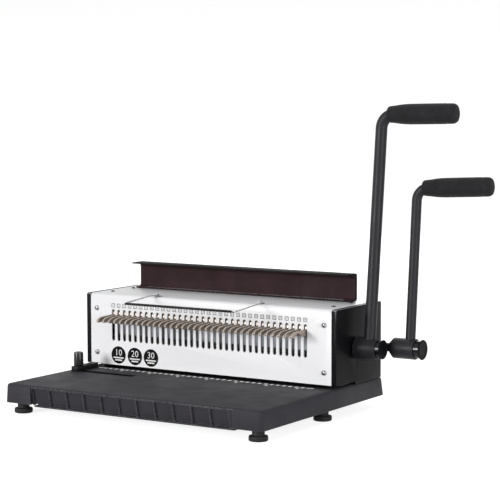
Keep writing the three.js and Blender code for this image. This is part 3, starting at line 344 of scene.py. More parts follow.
# Housing shell. One steel sheet folded over front, top and back, sprayed satin white.
# The 34 slots and the window of the closer are punched before folding, so their edges are slightly drawn in.
white_paint, tree, shader = finish("white paint", (0.85, 0.85, 0.865), roughness=0.36)
coated(tree, shader, drift=0.04, cells=0.008, edge_colour=(0.45, 0.45, 0.46),
       edge_amount=0.3, reach=0.35, dust=0.03, dust_colour=(0.5, 0.48, 0.45))
uneven(tree, shader, 0.3, 0.4, 0.02)
grained(tree, shader, cells=0.55, strength=0.1, distance=0.05)
dressed("housing_shell", "housing", "machine", [white_paint], edge=0.18, segments=2, angle=40)

# Slot numbers. Grey boxes printed over the slots, one to a slot, with its number in it.
# The print is a thin film of grey ink on the white paint.
print_grey, tree, shader = finish("printed grey", (0.05, 0.05, 0.055), roughness=0.5, mirror=0.2)
coated(tree, shader, drift=0.3, cells=0.5, edge_colour=(0.4, 0.4, 0.4), edge_amount=0.15, reach=0.2, dust=0.0)
number_rise = 115.7
number_size = 3.1
box_line = 0.65
box_sides = ((0, 2.1, 5.0, box_line), (0, -2.1, 5.0, box_line), (-2.2, 0, box_line, 3.55),
             (2.2, 0, box_line, 3.55))
number_places = [(i - middle_hole) * pitch for i in range(holes)]
boxes = bmesh.new()
for x in number_places:
    for dx, dz, wide, high in box_sides:
        bar_at(boxes, at(x + dx, -0.02, number_rise + dz), wide, 0.08, high)
new_piece("slot_number_boxes", boxes, "machine", [print_grey])


def lettering(name, words, size, material, depth=0.05, proud=0.0):
    """Plain numbers as thin raised print on the panel's face: words holds (text, x, z) in millimetres."""
    whole = bmesh.new()
    for text, x, z in words:
        curve = bpy.data.curves.new(name, "FONT")
        curve.body = text
        curve.size = size * mm
        curve.align_x = "CENTER"
        curve.align_y = "CENTER"
        curve.extrude = depth * mm / 2
        curve.resolution_u = 2
        holder = bpy.data.objects.new(name, curve)
        scene.collection.objects.link(holder)
        bpy.context.view_layer.update()
        flat = bpy.data.meshes.new_from_object(holder.evaluated_get(bpy.context.evaluated_depsgraph_get()))
        upright = Matrix.Rotation(math.pi / 2, 4, "X")
        flat.transform(Matrix.Translation(at(x, -proud - depth / 2, z)) @ upright)
        whole.from_mesh(flat)
        bpy.data.objects.remove(holder)
        bpy.data.curves.remove(curve)
        bpy.data.meshes.remove(flat)
    new_piece(name, whole, "machine", [material])


numbers = [(str(i + 1), x, number_rise) for i, x in enumerate(number_places)]
lettering("slot_numbers", numbers, number_size, print_grey)

# Round badges. Three discs of black film under the slots, 22 mm across and pressed on by hand.
# Each carries a plain white number and two white bars.
badge_film, tree, shader = finish("black film", (0.004, 0.004, 0.004), roughness=0.3, mirror=0.08)
coated(tree, shader, drift=0.2, cells=0.05, edge_colour=(0.1, 0.1, 0.1), edge_amount=0.2, reach=0.2, dust=0.0)
uneven(tree, shader, 0.24, 0.36, 0.08)
badge_ink, tree, shader = finish("badge ink", (0.75, 0.75, 0.75), roughness=0.45)
coated(tree, shader, drift=0.06, cells=0.1, edge_colour=(0.3, 0.3, 0.3), edge_amount=0.1, reach=0.2, dust=0.0)
badge_rise = 53.4
badge_places = (-131.8, -106.6, -82.0)
badge_radius = 11
badge_thick = 0.24
badge_proud = 0.22
badges = bmesh.new()
bars = bmesh.new()
for x in badge_places:
    disc = bmesh.ops.create_cone(badges, cap_ends=True, segments=64, radius1=badge_radius * mm,
                                 radius2=badge_radius * mm, depth=badge_thick * mm)["verts"]
    bmesh.ops.rotate(badges, verts=disc, matrix=Matrix.Rotation(math.pi / 2, 3, "X"))
    bmesh.ops.translate(badges, verts=disc, vec=at(x, -0.1, badge_rise))
    for wide, dz in ((15.5, -3.4), (10.5, -6.4)):
        bar_at(bars, at(x, -badge_thick, badge_rise + dz), wide, 0.06, 1.7)
new_piece("badge_discs", badges, "machine", [badge_film])
new_piece("badge_bars", bars, "machine", [badge_ink])
figures = [(str(10 * i + 10), x, badge_rise + 2.8) for i, x in enumerate(badge_places)]
lettering("badge_figures", figures, 11.5, badge_ink, depth=0.1, proud=badge_proud)

# Side covers. Folded steel pans in satin black, screwed on over the ends of the housing.
# A painted highlight lightens their rounded upper edges, and the right one has two clearance holes for the
# lever shafts.
cover_paint, tree, shader = finish("cover paint", (0.005, 0.005, 0.006), roughness=0.4, mirror=0.05)
coated(tree, shader, drift=0.25, cells=0.01, edge_colour=(0.06, 0.06, 0.065),
       edge_amount=0.4, reach=0.5, dust=0.03, dust_colour=(0.08, 0.08, 0.08))
uneven(tree, shader, 0.34, 0.46, 0.02)
grained(tree, shader, cells=0.8, strength=0.25, distance=0.08)
# Painted highlight: faces whose normal leans about 0.6 upwards, along the rounded upper edges, are mixed
# towards pale grey.
facing = tree.nodes.new("ShaderNodeSeparateXYZ")
tree.links.new(tree.nodes.new("ShaderNodeNewGeometry").outputs["Normal"], facing.inputs[0])
highlight_tilt_offset = calc(tree, "ABSOLUTE", calc(tree, "SUBTRACT", facing.outputs["Z"], 0.6))
edge_highlight_mask = calc(tree, "MULTIPLY", calc(tree, "SUBTRACT", 0.36, highlight_tilt_offset), 5.0, True)
painted = shader.inputs["Base Color"].links[0].from_socket
tree.links.new(mixed(tree, edge_highlight_mask, painted, (0.42, 0.41, 0.42)), shader.inputs["Base Color"])
for side in ("left", "right"):
    dressed("side_cover_" + side, "cover_" + side, "machine", [cover_paint], edge=0.7,
            segments=3, angle=40)

# Inner works. Ground and oiled tool steel: die block, beam, pins, posts, springs, shafts, racks and pinions.
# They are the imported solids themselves, with a brushed steel finish.
tool_steel, tree, shader = finish("ground steel", (0.42, 0.42, 0.43), roughness=0.34, metallic=1.0)
coated(tree, shader, drift=0.3, cells=0.06, edge_colour=(0.75, 0.75, 0.76), edge_amount=0.7, reach=0.4, dust=0.03)
uneven(tree, shader, 0.26, 0.45, 0.25, (0.03, 1, 1))
grained(tree, shader, cells=2.2, strength=0.12, distance=0.03)
frame_paint, tree, shader = finish("frame paint", (0.014, 0.014, 0.015), roughness=0.5)
coated(tree, shader, drift=0.2, cells=0.02, edge_colour=(0.2, 0.2, 0.2), edge_amount=0.5, reach=0.5, dust=0.1)
uneven(tree, shader, 0.45, 0.6, 0.03)
grained(tree, shader, cells=0.9, strength=0.2)
beam_steel, tree, shader = finish("beam steel", (0.2, 0.21, 0.225), roughness=0.4, metallic=1.0)
patch = tree.nodes.new("ShaderNodeMapRange")
patch.inputs["From Min"].default_value = 0.42
patch.inputs["From Max"].default_value = 0.62
tree.links.new(noise_of(tree, 0.07, 2, 0.4, (1, 1, 0.4)), patch.inputs["Value"])
tree.links.new(mixed(tree, patch.outputs["Result"], (0.05, 0.053, 0.06), (0.22, 0.235, 0.255)),
               shader.inputs["Base Color"])
uneven(tree, shader, 0.3, 0.5, 0.2)
dark_steel_and_shade, tree, shader = finish("blackened steel and shade", (0.011, 0.011, 0.012), roughness=0.4, metallic=0.4,
                                  mirror=0.4)
coated(tree, shader, drift=0.3, cells=0.06, edge_colour=(0.3, 0.3, 0.3), edge_amount=0.5, reach=0.4, dust=0.0)
uneven(tree, shader, 0.32, 0.5, 0.2, (0.05, 1, 1))


def finish_node(node, material):
    """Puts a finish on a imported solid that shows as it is."""
    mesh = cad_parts[node].data
    mesh.materials.clear()
    mesh.materials.append(material)


for node in ("guide_post_left", "guide_post_right", "return_spring_left", "return_spring_right",
             "press_rack_left", "press_rack_right", "punch_shaft", "punch_bush_left",
             "punch_bush_right", "punch_shaft_collar", "binding_pinion_left", "binding_pinion_right",
             "binding_bush_left", "binding_bush_right", "binding_shaft_collar", "closer_rack_left",
             "closer_rack_right", "closer_bar", "closer_guide_plate", "tie_bar_upper", "tie_bar_lower",
             "guide_clamp_plate"):
    finish_node(node, tool_steel)
for node in ("side_frame_left", "side_frame_right"):
    finish_node(node, frame_paint)
finish_node("press_beam", beam_steel)
finish_node("punch_die_block", dark_steel_and_shade)
# The pin row's near-black finish is partly painted shade: it sits behind the slots, where shade falls.
finish_node("punch_pin_row", dark_steel_and_shade)

# Hook comb. Stamped plates in warm grey metal, one through each slot, riveted to a strip behind the panel.
# Each plate droops at its tip into a hook that holds a wire loop open while sheets are hung on it.
hook_metal, tree, shader = finish("hook metal", (0.4, 0.345, 0.3), roughness=0.36, metallic=1.0)
coated(tree, shader, drift=0.3, cells=0.15, edge_colour=(0.55, 0.51, 0.47), edge_amount=0.6, reach=0.3, dust=0.0)
uneven(tree, shader, 0.36, 0.5, 0.3, (1, 0.15, 1))
grained(tree, shader, cells=1.8, strength=0.15, distance=0.04)
strip_low, strip_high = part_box("hook_comb")
hook_low = strip_low.z / mm
hook_thick = 2.6
hook_side = [(6.7, 2.9), (0, 2.9), (-5.5, 3.0), (-9, 3.9), (-11.8, 5.6), (-14.5, 7.3), (-17, 8.0),
             (-19.6, 8.0), (-21.9, 7.1), (-23.6, 5.5), (-24.9, 4.3), (-26.2, 3.9), (-29, 3.8), (-32.0, 3.9),
             (-33.1, 4.5), (-33.4, 5.7), (-32.4, 7.4), (-30, 8.9), (-27, 9.9), (-22, 10.5), (0, 11),
             (1.7, 11), (1.8, 13.6), (2.5, 14.7), (4, 15.1), (6.7, 15.1)]
hooks = bmesh.new()
for x in number_places:
    outline = [hooks.verts.new(at(x - hook_thick / 2, y, hook_low + z)) for y, z in hook_side]
    swept = bmesh.ops.extrude_face_region(hooks, geom=[hooks.faces.new(outline)])
    moved = [g for g in swept["geom"] if isinstance(g, bmesh.types.BMVert)]
    bmesh.ops.translate(hooks, verts=moved, vec=(hook_thick * mm, 0, 0))
    plate_edges = {e for v in outline + moved for e in v.link_edges}
    rim = [e for e in plate_edges if len({round(v.co.x, 6) for v in e.verts}) == 1]
    bmesh.ops.bevel(hooks, geom=rim, offset=0.3 * mm, offset_type="OFFSET", segments=1, profile=0.5,
                    affect="EDGES", material=-1, clamp_overlap=True)
bar_at(hooks, at(0, 7.7, hook_low + 6.0), (strip_high.x - strip_low.x) / mm, 3, 5.4)
bmesh.ops.recalc_face_normals(hooks, faces=hooks.faces)
new_piece("hook_row", hooks, "press", [hook_metal], angle=32, replaces=("hook_comb",))

# Closing channel. Thick rolled section in satin black, screwed on top of the housing.
# Its inner faces, which the wires are pressed against, are given a dull maroon.
inner_maroon, tree, shader = finish("inner maroon", (0.037, 0.021, 0.0235), roughness=0.5, mirror=0.03)
coated(tree, shader, drift=0.9, cells=0.03, edge_colour=(0.12, 0.1, 0.1), edge_amount=0.3, reach=0.5, dust=0.0)
uneven(tree, shader, 0.42, 0.6, 0.05, (1, 1, 0.3))
grained(tree, shader, cells=0.7, strength=0.2)
channel_paint, tree, shader = finish("channel paint", (0.018, 0.017, 0.0185), roughness=0.7, mirror=0.05)
coated(tree, shader, drift=0.25, cells=0.03, edge_colour=(0.08, 0.08, 0.08), edge_amount=0.3, reach=0.4, dust=0.0)
uneven(tree, shader, 0.66, 0.8, 0.03)
grained(tree, shader, cells=0.8, strength=0.2, distance=0.08)
channel = dressed("closing_channel", "press_channel", "machine", [channel_paint, inner_maroon],
                  edge=0.3, segments=2, angle=40)
channel_low, channel_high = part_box("closing_channel")
channel_skin = 1.2 * mm
channel_web = 2 * mm
for face in channel.data.polygons:
    inside = channel_low.z + channel_skin < face.center.z < channel_high.z - channel_skin
    in_front = face.center.y < channel_high.y - channel_web and face.normal.y < 0.3
    if inside and in_front and abs(face.normal.x) < 0.5:
        face.material_index = 1

# Top screws. Four small pan heads in dull steel that hold the top to the frames inside.
# The cross recess is struck into a low dome.
dark_screw, tree, shader = finish("dark screw steel", (0.07, 0.07, 0.072), roughness=0.3, metallic=1.0)
coated(tree, shader, drift=0.2, cells=0.2, edge_colour=(0.5, 0.5, 0.5), edge_amount=0.7, reach=0.3, dust=0.0)
uneven(tree, shader, 0.24, 0.36, 0.4)


def pan_head(bm, centre, facing, radius, height):
    """A domed screw head with a cross recess, its underside at the centre, looking along facing."""
    dome_shares = ((0, 1), (0.45, 0.97), (0.72, 0.84), (0.92, 0.55), (1, 0.2), (1, 0), (0, 0))
    dome = [(across * radius, up * height) for across, up in dome_shares]
    head = bmesh.new()
    turned(head, dome, Vector((0, 0, 0)), "Z", 24)
    mesh = bpy.data.meshes.new("head")
    head.to_mesh(mesh)
    head.free()
    body = bpy.data.objects.new("head", mesh)
    scene.collection.objects.link(body)
    cross = bmesh.new()
    for wide, deep in ((radius * 1.25, radius * 0.26), (radius * 0.26, radius * 1.25)):
        bar_at(cross, Vector((0, 0, height * mm)), wide, deep, height * 1.2)
    recess_mesh = bpy.data.meshes.new("recess")
    cross.to_mesh(recess_mesh)
    cross.free()
    recess = bpy.data.objects.new("recess", recess_mesh)
    scene.collection.objects.link(recess)
    carve = body.modifiers.new("recess", "BOOLEAN")
    carve.object = recess
    carve.operation = "DIFFERENCE"
    carve.solver = "EXACT"
    carve.use_self = True
    bpy.context.view_layer.update()
    cut = bpy.data.meshes.new_from_object(body.evaluated_get(bpy.context.evaluated_depsgraph_get()))
    turn = Vector((0, 0, 1)).rotation_difference(facing).to_matrix().to_4x4()
    cut.transform(Matrix.Translation(centre) @ turn @ Matrix.Rotation(math.radians(20), 4, "Z"))
    bm.from_mesh(cut)
    bpy.data.objects.remove(body)
    bpy.data.objects.remove(recess)
    bpy.data.meshes.remove(cut)


top_screws = bmesh.new()
for x in (-160, 162.5):
    for y in (27, 71):
        pan_head(top_screws, at(x, y, 0) + Vector((0, 0, panel_top)), Vector((0, 0, 1)), 2.6, 1.5)
new_piece("top_screws", top_screws, "machine", [dark_screw], angle=35)

# Panel screws. Four bright pan heads at the corners of the panel, into the die block and the frames' flanges.
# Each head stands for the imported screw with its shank, which stays in the wall.
screw_steel, tree, shader = finish("screw steel", (0.3, 0.3, 0.31), roughness=0.25, metallic=1.0)
coated(tree, shader, drift=0.2, cells=0.2, edge_colour=(0.5, 0.5, 0.5), edge_amount=0.3, reach=0.2, dust=0.0)
uneven(tree, shader, 0.2, 0.32, 0.4)
head_high = 2.15
head_seat = 2.2
shank_radius = 2 * mm
for node in ("panel_screw_lower_left", "panel_screw_lower_right", "panel_screw_upper_left",
             "panel_screw_upper_right"):
    low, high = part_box(node)
    screw = bmesh.new()
    seat = Vector(((low.x + high.x) / 2, low.y + head_seat * mm, (low.z + high.z) / 2))
    pan_head(screw, seat, Vector((0, -1, 0)), 3.1, head_high)
    shank = bmesh.ops.create_cone(screw, cap_ends=True, segments=20, radius1=shank_radius,
                                  radius2=shank_radius, depth=high.y - seat.y)["verts"]
    bmesh.ops.rotate(screw, verts=shank, matrix=Matrix.Rotation(math.pi / 2, 3, "X"))
    bmesh.ops.translate(screw, verts=shank, vec=(seat + Vector((seat.x, high.y, seat.z))) / 2)
    new_piece(node.replace("panel", "pan_head"), screw, "machine", [screw_steel], angle=35,
              replaces=(node,))

# Support bail. Bright wire bent to a long loop that leans forward over the panel and holds a stack of sheets.
# Its front bar is covered with a black plastic sleeve, and its ends turn in two folded knuckles.
chrome, tree, shader = finish("bright chrome", (0.5, 0.5, 0.52), roughness=0.12, metallic=1.0)
coated(tree, shader, drift=0.1, cells=0.2, edge_colour=(0.4, 0.4, 0.4), edge_amount=0.2, reach=0.2, dust=0.0)
uneven(tree, shader, 0.08, 0.2, 0.4)
bail_axis = at(0, 2.5, 132.2)
droop = math.radians(4.2)


def wire_piece(name, points, radius, body, material, replaces):
    """A round wire through points, made as a curve and turned into a mesh in place."""
    curve = bpy.data.curves.new(name, "CURVE")
    curve.dimensions = "3D"
    curve.bevel_depth = radius * mm
    curve.bevel_resolution = 6
    curve.use_fill_caps = True
    line = curve.splines.new("POLY")
    line.points.add(len(points) - 1)
    for spot, place in zip(line.points, points):
        spot.co = (*place, 1)
    holder = bpy.data.objects.new(name, curve)
    scene.collection.objects.link(holder)
    bpy.context.view_layer.update()
    bm = bmesh.new()
    made = bpy.data.meshes.new_from_object(holder.evaluated_get(bpy.context.evaluated_depsgraph_get()))
    bm.from_mesh(made)
    bpy.data.objects.remove(holder)
    bpy.data.curves.remove(curve)
    bpy.data.meshes.remove(made)
    bmesh.ops.remove_doubles(bm, verts=bm.verts, dist=0.002 * mm)
    bmesh.ops.recalc_face_normals(bm, faces=bm.faces)
    new_piece(name, bm, body, [material], angle=50, replaces=replaces)


def bail_point(x, reach):
    """A place on the leaning loop, so far from the middle and so far out from the hinge."""
    return bail_axis + Vector((x * mm, -reach * math.cos(droop) * mm, -reach * math.sin(droop) * mm))


half_loop = [(73.5, 0), (78.2, 0), (78.9, 0.2), (79.3, 0.6), (79.5, 1.3)]
bend_radius = 5
for step in range(9):
    turn_by = step * math.pi / 16
    half_loop.append((74.5 + bend_radius * math.cos(turn_by), 57.5 + bend_radius * math.sin(turn_by)))
other_half = [(-x, reach) for x, reach in reversed(half_loop)]
loop = [bail_point(x, reach) for x, reach in half_loop + other_half]
wire_piece("bail_wire", loop, 1.05, "bail", chrome, ("support_bail",))

sleeve_plastic, tree, shader = finish("black plastic", (0.007, 0.007, 0.008), roughness=0.45, mirror=0.2)
coated(tree, shader, drift=0.25, cells=0.08, edge_colour=(0.06, 0.06, 0.06),
       edge_amount=0.5, reach=0.4, dust=0.03, dust_colour=(0.1, 0.1, 0.1))
uneven(tree, shader, 0.4, 0.55, 0.1)
grained(tree, shader, cells=1.5, strength=0.2, distance=0.05)
tube_half = 76.4
tube_side = [(1.1, -tube_half), (1.35, -tube_half), (1.5, 0.2 - tube_half), (1.5, tube_half - 0.2),
             (1.35, tube_half), (1.1, tube_half), (1.1, -tube_half)]
tube = bmesh.new()
turned(tube, tube_side, bail_point(0, 62.5), "X", 28)
new_piece("bail_sleeve_tube", tube, "bail", [sleeve_plastic], angle=40,
          replaces=("bail_sleeve",))
for node in ("bail_knuckle_left", "bail_knuckle_right"):
    dressed(node, node.replace("bail_", "folded_"), "machine", [chrome], edge=0.15,
            segments=2, angle=30)

# Lever shafts. Ground steel bars; the binding shaft shows between the cover and its hub.
# Both run in flanged bushes in the frames and are held by set collars inside the left one.
shaft_low, shaft_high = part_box("binding_shaft")
shaft_length = (shaft_high.x - shaft_low.x) / mm
shaft_side = [(0, 0), (4.6, 0), (5, 0.4), (5, shaft_length - 0.4), (4.6, shaft_length), (0, shaft_length)]
shaft_end = Vector((shaft_low.x, (shaft_low.y + shaft_high.y) / 2, (shaft_low.z + shaft_high.z) / 2))
binding_bar = bmesh.new()
turned(binding_bar, shaft_side, shaft_end, "X", 40)
new_piece("binding_shaft_bar", binding_bar, "binding_drive", [dark_steel_and_shade], angle=35,
          replaces=("binding_shaft",))

# Lever hubs. Turned steel bosses, sprayed dark grey, each with a groove near its outer end.
# A plain steel sleeve shows in the groove, near-black so that it also stands in as painted shade for the
# recess, and the rod is welded into a radial socket.
lever_paint, tree, shader = finish("lever paint", (0.0195, 0.0187, 0.022), roughness=0.42, mirror=0.18)
coated(tree, shader, drift=0.25, cells=0.03, edge_colour=(0.1, 0.1, 0.1),
       edge_amount=0.45, reach=0.5, dust=0.03, dust_colour=(0.12, 0.12, 0.12))
uneven(tree, shader, 0.36, 0.5, 0.04)
grained(tree, shader, cells=0.7, strength=0.25, distance=0.08)
cap_black, tree, shader = finish("cap black", (0.004, 0.004, 0.005), roughness=0.5, mirror=0.06)
coated(tree, shader, drift=0.3, cells=0.05, edge_colour=(0.05, 0.05, 0.05), edge_amount=0.3, reach=0.4, dust=0.0)
uneven(tree, shader, 0.4, 0.6, 0.1)
grained(tree, shader, cells=0.7, strength=0.2, distance=0.08)
groove_steel_and_shade, tree, shader = finish("groove steel and shade", (0.03, 0.03, 0.032), roughness=0.22, metallic=1.0)
coated(tree, shader, drift=0.3, cells=0.1, edge_colour=(0.3, 0.3, 0.3), edge_amount=0.2, reach=0.2, dust=0.0)
uneven(tree, shader, 0.18, 0.28, 0.3, (0.05, 1, 1))
punch_axis = at(0, 46, 80.7)
binding_axis = at(0, 68.8, 80.7)
punch_hub_side = [(6.3, 183.6), (12.4, 183.6), (13.2, 183.9), (13.6, 184.6), (11.8, 209.9), (11.9, 210.2),
                  (12.2, 210.5), (12.2, 211.3), (11.9, 211.6), (9.6, 211.8), (9.6, 217.2), (11.0, 217.3),
                  (11.3, 217.6), (11.3, 218.3), (10.9, 218.6), (8.6, 218.6), (8.2, 218.2), (0, 218.2),
                  (0, 212.9), (6.3, 212.9), (6.3, 183.6)]
binding_hub_side = [(5.3, 215.45), (5.6, 215.45), (12.0, 221.7), (12.2, 222.3), (12.2, 249.6), (11.9, 250.0),
                    (9.8, 250.1), (9.8, 257.2), (11.4, 257.35), (11.9, 257.8), (11.9, 258.5), (11.3, 259.15),
                    (9.4, 259.15), (9.0, 258.75), (0, 258.75), (0, 253.45), (5.3, 253.45), (5.3, 215.45)]
punch_hub = bmesh.new()
turned(punch_hub, punch_hub_side, punch_axis, "X", 64)
punch_boss = new_piece("punch_hub", punch_hub, "punch_drive", [lever_paint, cap_black],
                       angle=32, replaces=("punch_lever_hub",))
binding_hub = bmesh.new()
turned(binding_hub, binding_hub_side, binding_axis, "X", 64)
binding_boss = new_piece("binding_hub", binding_hub, "binding_drive", [lever_paint, cap_black],
                         angle=32, replaces=("binding_lever_hub",))
for boss, start, axis in ((punch_boss, 217.0, punch_axis), (binding_boss, 257.0, binding_axis)):
    for face in boss.data.polygons:
        if face.center.x > axis.x + start * mm and face.normal.x > -0.2:
            face.material_index = 1
# The sleeves' near-black steel is partly painted shade for the groove.
groove_rings = (("punch_groove_sleeve", "punch_drive", punch_axis, 9.6, 214.5, 2.3),
                ("binding_groove_sleeve", "binding_drive", binding_axis, 9.8, 253.65, 3.2))
for name, body, axis, radius, x, half in groove_rings:
    ring_side = [(radius + 0.02, x - half), (radius + 0.35, x - half), (radius + 0.55, x - half + 0.2),
                 (radius + 0.55, x + half - 0.2), (radius + 0.35, x + half), (radius + 0.02, x + half),
                 (radius + 0.02, x - half)]
    ring = bmesh.new()
    turned(ring, ring_side, axis, "X", 64)
    new_piece(name, ring, body, [groove_steel_and_shade], angle=32)

# Lever rods. Steel bars bent over at the top, sprayed like the hubs and welded into them.
# Both lean back a few degrees at rest.


def bent_rod(name, body, axis, replaces, radius, foot, end, x, rise, bend, tilt, lean):
    """A round bar that stands on its hub, bends outwards near the top and ends inside the grip."""
    bm = bmesh.new()
    ring = bmesh.ops.create_circle(bm, cap_ends=True, radius=radius * mm, segments=40)["verts"]
    start = axis + Vector((x * mm, 0, foot * mm))
    bmesh.ops.translate(bm, verts=ring, vec=start)
    cap = bm.faces[:]
    straight = bmesh.ops.extrude_face_region(bm, geom=cap)
    verts = [g for g in straight["geom"] if isinstance(g, bmesh.types.BMVert)]
    bmesh.ops.translate(bm, verts=verts, vec=(0, 0, (rise - bend - foot) * mm))
    cap = [g for g in straight["geom"] if isinstance(g, bmesh.types.BMFace)]
    centre = axis + Vector(((x + bend) * mm, 0, (rise - bend) * mm))
    swept = bmesh.ops.spin(bm, geom=cap, cent=centre, axis=(0, 1, 0), angle=math.pi / 2 - tilt,
                           steps=14)
    cap = [g for g in swept["geom_last"] if isinstance(g, bmesh.types.BMFace)]
    run = (end - x - bend + bend * math.sin(tilt)) * mm
    outer = bmesh.ops.extrude_face_region(bm, geom=cap)
    verts = [g for g in outer["geom"] if isinstance(g, bmesh.types.BMVert)]
    bmesh.ops.delete(bm, geom=cap, context="FACES_ONLY")
    bmesh.ops.translate(bm, verts=verts, vec=(run, 0, run * math.tan(tilt)))
    bmesh.ops.remove_doubles(bm, verts=bm.verts, dist=0.002 * mm)
    bmesh.ops.recalc_face_normals(bm, faces=bm.faces)
    bmesh.ops.rotate(bm, verts=bm.verts, cent=axis, matrix=Matrix.Rotation(-lean, 3, "X"))
    new_piece(name, bm, body, [lever_paint], angle=40, replaces=replaces)


punch_bend = dict(x=200.1, rise=275.9, bend=16, tilt=math.radians(0.8), lean=math.radians(6.2))
binding_bend = dict(x=241.85, rise=189.3, bend=15, tilt=math.radians(2.4), lean=math.radians(5))
bent_rod("punch_rod", "punch_drive", punch_axis, ("punch_lever",), radius=7, foot=6.7, end=285.7,
         **punch_bend)
bent_rod("binding_rod", "binding_drive", binding_axis, ("binding_lever",), radius=5.9, foot=5.7, end=326,
         **binding_bend)

# Lever grips. Closed-cell foam rubber sleeves with a slim neck and a ring near the end, pushed on with glue.
# Their skin is matt and slightly pitted.
grip_foam, tree, shader = finish("grip foam", (0.013, 0.0125, 0.014), roughness=0.8, mirror=0.15)
coated(tree, shader, drift=0.3, cells=0.06, edge_colour=(0.05, 0.05, 0.05),
       edge_amount=0.4, reach=0.8, dust=0.05, dust_colour=(0.06, 0.06, 0.06))
uneven(tree, shader, 0.66, 0.85, 0.1)
grained(tree, shader, cells=1.3, strength=0.5, distance=0.12)
shader.inputs["Sheen Weight"].default_value = 0.08
shader.inputs["Sheen Roughness"].default_value = 0.5
grip_shares = ((0.7, 0.0), (0.77, 0.004), (0.81, 0.016), (0.83, 0.04), (0.85, 0.08), (0.89, 0.125),
               (0.945, 0.18), (0.98, 0.24), (1, 0.32), (1, 0.6), (0.998, 0.82), (0.993, 0.838),
               (0.978, 0.848), (0.978, 0.858), (0.985, 0.868), (0.982, 0.93), (0.95, 0.96), (0.86, 0.981),
               (0.7, 0.992), (0.45, 0.997), (0, 1))


def grip_piece(name, body, axis, replaces, start, length, radius, bore, x, rise, bend, tilt, lean):
    """A turned sleeve laid along the rod's outer end, tilted and leaned with it."""
    bm = bmesh.new()
    profile = [(0, length * 0.82), (bore, length * 0.82), (bore, 0.8)]
    for across, along in grip_shares:
        skin = across * radius
        profile.append((max(skin, bore + 0.4) if along < 0.5 else skin, along * length))
    turned(bm, profile, Vector((0, 0, 0)), "X", 56)
    bend_x = x + bend - bend * math.sin(tilt)
    bend_z = rise - bend + bend * math.cos(tilt)
    place = Vector((start * mm, 0, (bend_z + (start - bend_x) * math.tan(tilt)) * mm))
    bmesh.ops.rotate(bm, verts=bm.verts, cent=(0, 0, 0), matrix=Matrix.Rotation(-tilt, 3, "Y"))
    bmesh.ops.translate(bm, verts=bm.verts, vec=axis + place)
    bmesh.ops.rotate(bm, verts=bm.verts, cent=axis, matrix=Matrix.Rotation(-lean, 3, "X"))
    new_piece(name, bm, body, [grip_foam], angle=30, replaces=replaces)


grip_piece("punch_grip", "punch_drive", punch_axis, ("punch_lever_grip",), start=209.6, length=87.4,
           radius=12.1, bore=7.2, **punch_bend)
grip_piece("binding_grip", "binding_drive", binding_axis, ("binding_lever_grip",), start=251.05,
           length=86.4, radius=11.45, bore=6.1, **binding_bend)

# Edge guide. A black plastic stop bar on the tray, held by a fluted knob whose stud runs in the tray's slot.
# The paper's edge lies against the bar, and the knob clamps it to a plate under the tray.
dressed("edge_guide", "guide_bar", "guide", [sleeve_plastic], edge=0.5, segments=3, angle=40)
knob_low, knob_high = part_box("edge_guide_knob")
knob_middle = Vector(((knob_low.x + knob_high.x) / 2, (knob_low.y + knob_high.y) / 2, 0))
knob_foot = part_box("edge_guide")[1].z / mm + 0.3
knob_top = knob_high.z / mm
knob_side = [(0, knob_foot), (5.4, knob_foot), (6.0, knob_foot + 0.4), (6.15, knob_foot + 1.0),
             (5.85, knob_top - 1.5), (5.5, knob_top - 0.5), (4.8, knob_top), (3.4, knob_top),
             (3.1, knob_top - 0.4), (0, knob_top - 0.4)]
knob_facets = 72
flutes = 8
stud_radius = 2.5 * mm
knob_plastic, tree, shader = finish("knob plastic", (0.01, 0.01, 0.011), roughness=0.28, mirror=0.5)
coated(tree, shader, drift=0.25, cells=0.08, edge_colour=(0.12, 0.12, 0.12),
       edge_amount=0.6, reach=0.4, dust=0.03, dust_colour=(0.1, 0.1, 0.1))
uneven(tree, shader, 0.24, 0.34, 0.1)
knob = bmesh.new()
turned(knob, knob_side, knob_middle, "Z", knob_facets)
side_faces = []
for face in knob.faces:
    middle = face.calc_center_median()
    if (knob_foot + 1.0) * mm < middle.z < (knob_top - 1.5) * mm and abs(face.normal.z) < 0.5:
        side_faces.append((math.atan2(middle.x - knob_middle.x, middle.y - knob_middle.y), face))
side_faces.sort(key=lambda pair: pair[0])
hollows = [pair[1] for i, pair in enumerate(side_faces) if i % (knob_facets // flutes) < 5]
bmesh.ops.inset_region(knob, faces=hollows, thickness=0.25 * mm, depth=-0.9 * mm, use_even_offset=True)
stud_height = knob_foot * mm - knob_low.z
stud = bmesh.ops.create_cone(knob, cap_ends=True, segments=24, radius1=stud_radius, radius2=stud_radius,
                             depth=stud_height)["verts"]
bmesh.ops.translate(knob, verts=stud, vec=knob_middle + Vector((0, 0, knob_low.z + stud_height / 2)))
new_piece("fluted_knob", knob, "knob", [knob_plastic], angle=32,
          replaces=("edge_guide_knob",))

